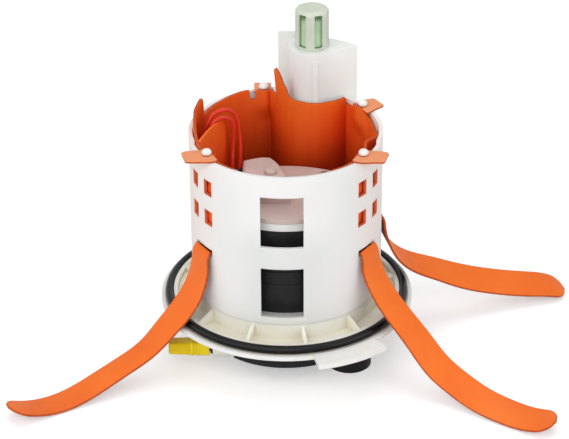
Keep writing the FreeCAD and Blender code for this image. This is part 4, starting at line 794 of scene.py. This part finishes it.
def make_grommets(finish):
    radius = LEAD_DIAMETER / 2
    profile = [(radius + 0.05, 0), (radius + 0.85, 0), (radius + 0.85, 3.0), (radius + 1.2, 3.1),
               (radius + 1.25, 4.0), (radius + 0.8, 4.4), (radius + 1.1, 4.9),
               (radius + 0.75, 5.4), (radius + 0.95, 6.0), (radius + 0.5, 6.9),
               (radius + 0.05, 7.0)]
    sleeves = [turned("sleeve", profile, (x, y, COVER_TOP - 3.0), finish, 32)
               for x, y in LEAD_HOLES]
    item = joined("lead_sleeves", sleeves)
    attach(item, "module")
    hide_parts("lead_grommets")


def make_seal(finish):
    """The O-ring, with the faint flash line that its mould leaves."""
    half = SEAL_SECTION / 2 - SEAL_FLASH
    steps, around, seam = 288, 40, (5, 25)
    rings = []
    for step in range(steps):
        angle = 2 * math.pi * step / steps
        ring = []
        for number in range(around):
            turn = 2 * math.pi * number / around
            thick = half + (SEAL_FLASH if number in seam else 0.0)
            reach = SEAL_RADIUS + thick * math.cos(turn)
            ring.append((reach * math.cos(angle), reach * math.sin(angle),
                         SEAL_LEVEL + thick * math.sin(turn)))
        rings.append(ring)
    item = tube_of_rings("flange_seal_ring", rings, finish, closed=True)
    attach(item, "module")
    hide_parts("flange_seal")


def make_rivets(finish):
    """Plastic rivet heads: round domes over the mat's tabs."""
    seat = 0.1 + MAT_THICK
    profile = [(0.001, seat - RIVET_SHANK), (1.0, seat - RIVET_SHANK), (1.0, seat),
               (2.8, seat + 0.02), (3.05, seat + 0.3), (3.12, seat + 0.9), (3.02, seat + 1.5),
               (2.75, seat + 2.1), (2.3, seat + 2.65), (1.7, seat + 3.0), (1.0, seat + 3.2),
               (0.001, seat + 3.3)]
    heads = [turned("head", profile, place, finish, 40) for place in rivet_places()]
    item = joined("mat_rivet_heads", heads)
    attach(item, "module")
    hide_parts("mat_rivets")


def box_ring(x, half_y, half_z, corner):
    """A rectangle with round corners, square to X, about the outlet's axis."""
    ring = []
    for sign_y, sign_z, start in ((1, 1, 0), (-1, 1, 90), (-1, -1, 180), (1, -1, 270)):
        for step in range(5):
            turn = math.radians(start + 22.5 * step)
            ring.append((x, OUTLET_Y + sign_y * (half_y - corner) + corner * math.cos(turn),
                         OUTLET_LEVEL + sign_z * (half_z - corner) + corner * math.sin(turn)))
    return ring


def make_cap(finish):
    """The transport cap: a square moulding with a rib round it and a slightly larger mouth."""
    rings = [box_ring(x, half_y, half_z, corner) for x, half_y, half_z, corner in (
        (-74.0, 3.2, 3.4, 1.2), (-73.6, 3.7, 3.9, 1.2), (-73.0, 4.0, 4.2, 1.2),
        (-60.3, 4.2, 4.4, 1.1), (-60.2, 4.7, 4.8, 1.1), (-60.0, 4.9, 4.95, 1.1),
        (-58.7, 4.9, 4.95, 1.1), (-58.5, 4.7, 4.8, 1.1), (-58.4, 4.3, 4.5, 1.1),
        (-49.0, 4.5, 4.7, 1.1), (-48.3, 4.4, 4.6, 1.1), (-48.1, 4.1, 4.3, 1.1),
        (CAP_MOUTH, CAP_BORE, CAP_BORE, CAP_BORE_CORNER),
        (CAP_BORE_FLOOR, CAP_BORE, CAP_BORE, CAP_BORE_CORNER))]
    item = tube_of_rings("outlet_cap_shell", rings, finish)
    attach(item, "cap")
    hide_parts("outlet_cap")


# Heater mat

# Top edge of the liner: height against place, seen from the side and from the front
LEFT_EDGE = ((-65, MAT_FRONT), (-24, MAT_FRONT), (-16, 116.5), (-6, 121.5), (10, 125.6),
             (19.5, 127.0), (20.6, 125.5), (21.4, 113.2), (28, 114.6), (48, MAT_REAR),
             (70, MAT_REAR))
RIGHT_EDGE = ((-65, MAT_FRONT), (-24, MAT_FRONT), (-16, 114.0), (-10, 113.4), (0, 110.9),
              (12, 109.4), (22, 112.9), (27, MAT_REAR), (70, MAT_REAR))
REAR_EDGE = ((-70, 140), (-14.1, 140), (-14, MAT_REAR), (-5.1, MAT_REAR), (-5.0, 136.2),
             (-4.6, 136.5), (-3.8, 135.7), (-2.6, 133.6), (-1.8, 131.2), (-0.3, 124.3),
             (1.5, 119.2), (3.2, 117.8), (5.0, MAT_REAR), (20, MAT_REAR - 0.8),
             (36.8, MAT_REAR), (38.2, 112.6), (43.6, 112.2), (45, MAT_REAR), (70, MAT_REAR))
# Notches in that edge: heading, half angle and level of the floor
NOTCHES = ((-157.0, 1.9, 110.8), (-172.0, 1.0, 110.8))
# Bulge of the liner under each rivet, the fold at its right, and the lean of its tall ear
BULGE_DEPTH = 3.9
BULGE_REACH = 6.6
FOLD_HEADING = 74.0
FOLD_SPREAD = 9.0
FOLD_DEPTH = 5.2
EAR_BEND = 118.5
EAR_LEAN = 0.11
LINER_ROWS = 64


def liner_plan():
    """Plan of the liner's middle line, from its right front edge round to the left one."""
    gap = math.hypot(*RECESS)
    along = (gap ** 2 + MAT_MIDDLE ** 2 - RECESS_MIDDLE ** 2) / (2 * gap)
    half = math.degrees(math.acos(along / MAT_MIDDLE))
    middle = math.degrees(math.atan2(RECESS[0], -RECESS[1])) % 360
    points = []
    for heading in np.arange(30.0, middle - half, 0.9):
        points.append(heading_point(MAT_MIDDLE, heading).xy)
    start = heading_point(MAT_MIDDLE, middle - half).xy - Vector(RECESS)
    end = heading_point(MAT_MIDDLE, middle + half).xy - Vector(RECESS)
    first = math.atan2(start.y, start.x)
    last = math.atan2(end.y, end.x)
    while last > first:
        last -= 2 * math.pi
    for angle in np.linspace(first, last, int(RECESS_MIDDLE * (first - last) / 0.85)):
        points.append(Vector(RECESS) + RECESS_MIDDLE * Vector((math.cos(angle), math.sin(angle))))
    for heading in np.arange(middle + half + 0.9, 330.01, 0.9):
        points.append(heading_point(MAT_MIDDLE, heading).xy)
    line = np.array(points)
    for _ in range(3):
        line[1:-1] = (line[:-2] + 2 * line[1:-1] + line[2:]) / 4
    return line


def liner_top(x, y):
    """Height of the liner's free edge at a place in plan."""
    top = MAT_PEAK
    if x < -12:
        top = min(top, np.interp(y, *zip(*LEFT_EDGE)))
    if x > 20:
        top = min(top, np.interp(y, *zip(*RIGHT_EDGE)))
    if y > 20:
        top = min(top, np.interp(x, *zip(*REAR_EDGE)))
    heading = math.degrees(math.atan2(x, -y))
    for middle, half, level in NOTCHES:
        if abs(heading - middle) < half and math.hypot(x, y) > 50:
            top = min(top, level)
    return top


def liner_push(x, y, z):
    """How far the liner leaves its plan line towards the pot's axis: folds and rivet bulges."""
    heading = math.degrees(math.atan2(x, -y))
    push = 0.18 + 0.16 * math.sin(heading * 0.21 + z * 0.05) + 0.1 * math.sin(heading * 0.6)
    for place in rivet_places():
        away = math.hypot(x - place.x, y - place.y)
        rise = min(max((z - (place.z - 22.0)) / 15.0, 0), 1)
        bulge = BULGE_DEPTH * math.exp(-(away / BULGE_REACH) ** 2)
        push += bulge * rise * rise * (3 - 2 * rise)
    fold = math.exp(-((heading - FOLD_HEADING) / FOLD_SPREAD) ** 2)
    fold *= min(max((z - 90.0) / 18.0, 0), 1)
    return push + FOLD_DEPTH * fold


def make_liner(finish, edge):
    line = liner_plan()
    ways = np.gradient(line, axis=0)
    ways /= np.linalg.norm(ways, axis=1)[:, None]
    inward = np.c_[-ways[:, 1], ways[:, 0]]
    rows = LINER_ROWS
    points = []
    for (x, y), (nx, ny) in zip(line, inward):
        top = liner_top(x, y)
        for row in range(rows + 1):
            z = MAT_BASE + (top - MAT_BASE) * (row / rows) ** 0.8
            push = liner_push(x, y, z)
            in_ear = y > 40 and -7 < x < 6
            lean = EAR_LEAN * max(z - EAR_BEND, 0) if in_ear else 0.0
            points.append(((x + nx * push - lean) * MM, (y + ny * push) * MM, z * MM))
    faces = []
    count = rows + 1
    for column in range(len(line) - 1):
        for row in range(rows):
            here = column * count + row
            faces.append((here, here + 1, here + count + 1, here + count))
    mesh = bpy.data.meshes.new("heater_liner")
    mesh.from_pydata(points, [], faces)
    item = new_object("heater_liner", mesh, finish)
    mesh.materials.append(edge)
    modifier(item, "SOLIDIFY", thickness=MAT_THICK * MM, offset=0.0, use_even_offset=True,
             material_offset_rim=1)
    modifier(item, "BEVEL", width=0.4 * MM, segments=3, limit_method="ANGLE",
             angle_limit=SHARP_ANGLE)
    return item


def rounded_outline(corners, radius, steps=5):
    """A polygon with round corners."""
    count = len(corners)
    points = []
    for index in range(count):
        here = Vector(corners[index])
        back = (Vector(corners[index - 1]) - here)
        on = (Vector(corners[(index + 1) % count]) - here)
        reach = min(radius, back.length * 0.4, on.length * 0.4)
        start = here + back.normalized() * reach
        end = here + on.normalized() * reach
        for step in range(steps + 1):
            part = step / steps
            points.append(start * (1 - part) ** 2 + here * 2 * part * (1 - part) + end * part ** 2)
    return points


def make_tab(name, corners, level, finish, rim, droop=0.0, radius=1.6):
    """A flap of the mat that lies over the rim, with soft corners and a slight sag."""
    outline = rounded_outline(corners, radius)
    built = bmesh.new()
    ring = [built.verts.new((p.x * MM, p.y * MM, level * MM)) for p in outline]
    face = built.faces.new(ring)
    if face.normal.z < 0:
        face.normal_flip()
    bmesh.ops.triangulate(built, faces=[face])
    bmesh.ops.subdivide_edges(built, edges=built.edges[:], cuts=2, use_grid_fill=True)
    for vert in built.verts:
        outside = max(math.hypot(vert.co.x, vert.co.y) / MM - POT_RADIUS, 0)
        wave = 0.12 * math.sin(vert.co.x * 420) * math.cos(vert.co.y * 380)
        vert.co.z += (wave * min(outside / 3, 1) - droop * outside ** 2 / 100) * MM
    mesh = bpy.data.meshes.new(name)
    built.to_mesh(mesh)
    built.free()
    item = new_object(name, mesh, finish)
    mesh.materials.append(rim)
    modifier(item, "SOLIDIFY", thickness=TAB_THICK * MM, offset=1.0, material_offset_rim=1)
    modifier(item, "BEVEL", width=0.45 * MM, segments=3, limit_method="ANGLE",
             angle_limit=SHARP_ANGLE)
    return item


def make_mat(finish, flap, edge):
    liner = make_liner(finish, edge)
    front = RIM_FRONT + TAB_LIFT
    rear = RIM_REAR + TAB_LIFT
    left = ((-63.4, -28.8), (-60.2, -40.4), (-45.6, -41.6), (-40.4, -39.2), (-44.5, -31.5),
            (-48.8, -25.4), (-61.2, -27.0))
    right = tuple((-x, y) for x, y in reversed(left))
    tabs = [make_tab("tab_left", left, front, flap, edge, 0.4),
            make_tab("tab_right", right, front, flap, edge, 0.4),
            make_tab("tab_rear_left", ((-21.0, 50.2), (-9.6, 53.0), (-10.4, 63.2), (-21.2, 63.4)),
                     rear, flap, edge, 0.2, 0.9),
            make_tab("tab_rear_right", ((44.2, 33.4), (50.6, 19.6), (57.2, 26.2), (61.8, 31.2),
                                        (55.6, 41.0), (47.0, 38.4)), rear, flap, edge, 0.3)]
    for tab in tabs:
        tab.parent = liner
    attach(liner, "module")
    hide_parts("heater_mat")


# Plan of the terminal flap at its top and at its foot, from the front end to the rear one
PATCH_TOP_LINE = ((-52.6, -18.4), (-50.0, -9.6), (-45.4, 2.2), (-38.8, 13.6))
PATCH_FOOT_LINE = ((-52.6, -18.4), (-49.4, -9.9), (-44.2, 1.2), (-36.6, 11.6))
PATCH_TOP = 116.5
PATCH_FOOT = COVER_TOP + 0.4


def make_patch(finish, edge):
    """The flap over the wires' joints: a thin panel that bulges a little off the liner."""
    columns, rows = 36, 30
    marks = (0, 1, 2, 3)
    places = np.linspace(0, 3, columns + 1)
    upper = natural_spline(PATCH_TOP_LINE, marks, places)
    lower = natural_spline(PATCH_FOOT_LINE, marks, places)
    points = []
    for column in range(columns + 1):
        along = column / columns
        corner = max(along - 0.86, 0) / 0.14
        top = PATCH_TOP - 4.5 * (1 - math.sqrt(max(1 - corner ** 2, 0)))
        for row in range(rows + 1):
            rise = row / rows
            z = PATCH_FOOT + (top - PATCH_FOOT) * rise
            part = (z - PATCH_FOOT) / (PATCH_TOP - PATCH_FOOT)
            flat = lower[column] * (1 - part) + upper[column] * part
            bulge = 0.7 * math.sin(math.pi * along) * math.sin(math.pi * part)
            points.append(((flat[0] + bulge * 0.87) * MM, (flat[1] - bulge * 0.49) * MM, z * MM))
    faces = []
    for column in range(columns):
        for row in range(rows):
            here = column * (rows + 1) + row
            faces.append((here, here + rows + 1, here + rows + 2, here + 1))
    mesh = bpy.data.meshes.new("terminal_flap")
    mesh.from_pydata(points, [], faces)
    item = new_object("terminal_flap", mesh, finish)
    mesh.materials.append(edge)
    modifier(item, "SOLIDIFY", thickness=MAT_THICK * MM, offset=0.0, use_even_offset=True)
    modifier(item, "BEVEL", width=0.4 * MM, segments=3, limit_method="ANGLE",
             angle_limit=SHARP_ANGLE)
    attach(item, "module")
    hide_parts("lead_patch")


def main():
    scene = bpy.context.scene
    scene.view_settings.view_transform = "Standard"
    add_camera()
    finishes = make_materials()
    make_leads(finishes["lead_jacket"])
    add_world()
    add_floor()
    add_lights()
    dress_nodes(finishes)
    make_arms(finishes["heater_silicone"], finishes["silicone_edge"])
    make_grommets(finishes["grommet_rubber"])
    make_seal(finishes["seal_rubber"])
    make_rivets(finishes["rivet_white"])
    make_cap(finishes["cap_yellow"])
    make_mat(finishes["silicone_liner"], finishes["silicone_tab"], finishes["silicone_edge"])
    make_patch(finishes["silicone_liner"], finishes["silicone_edge"])


main()
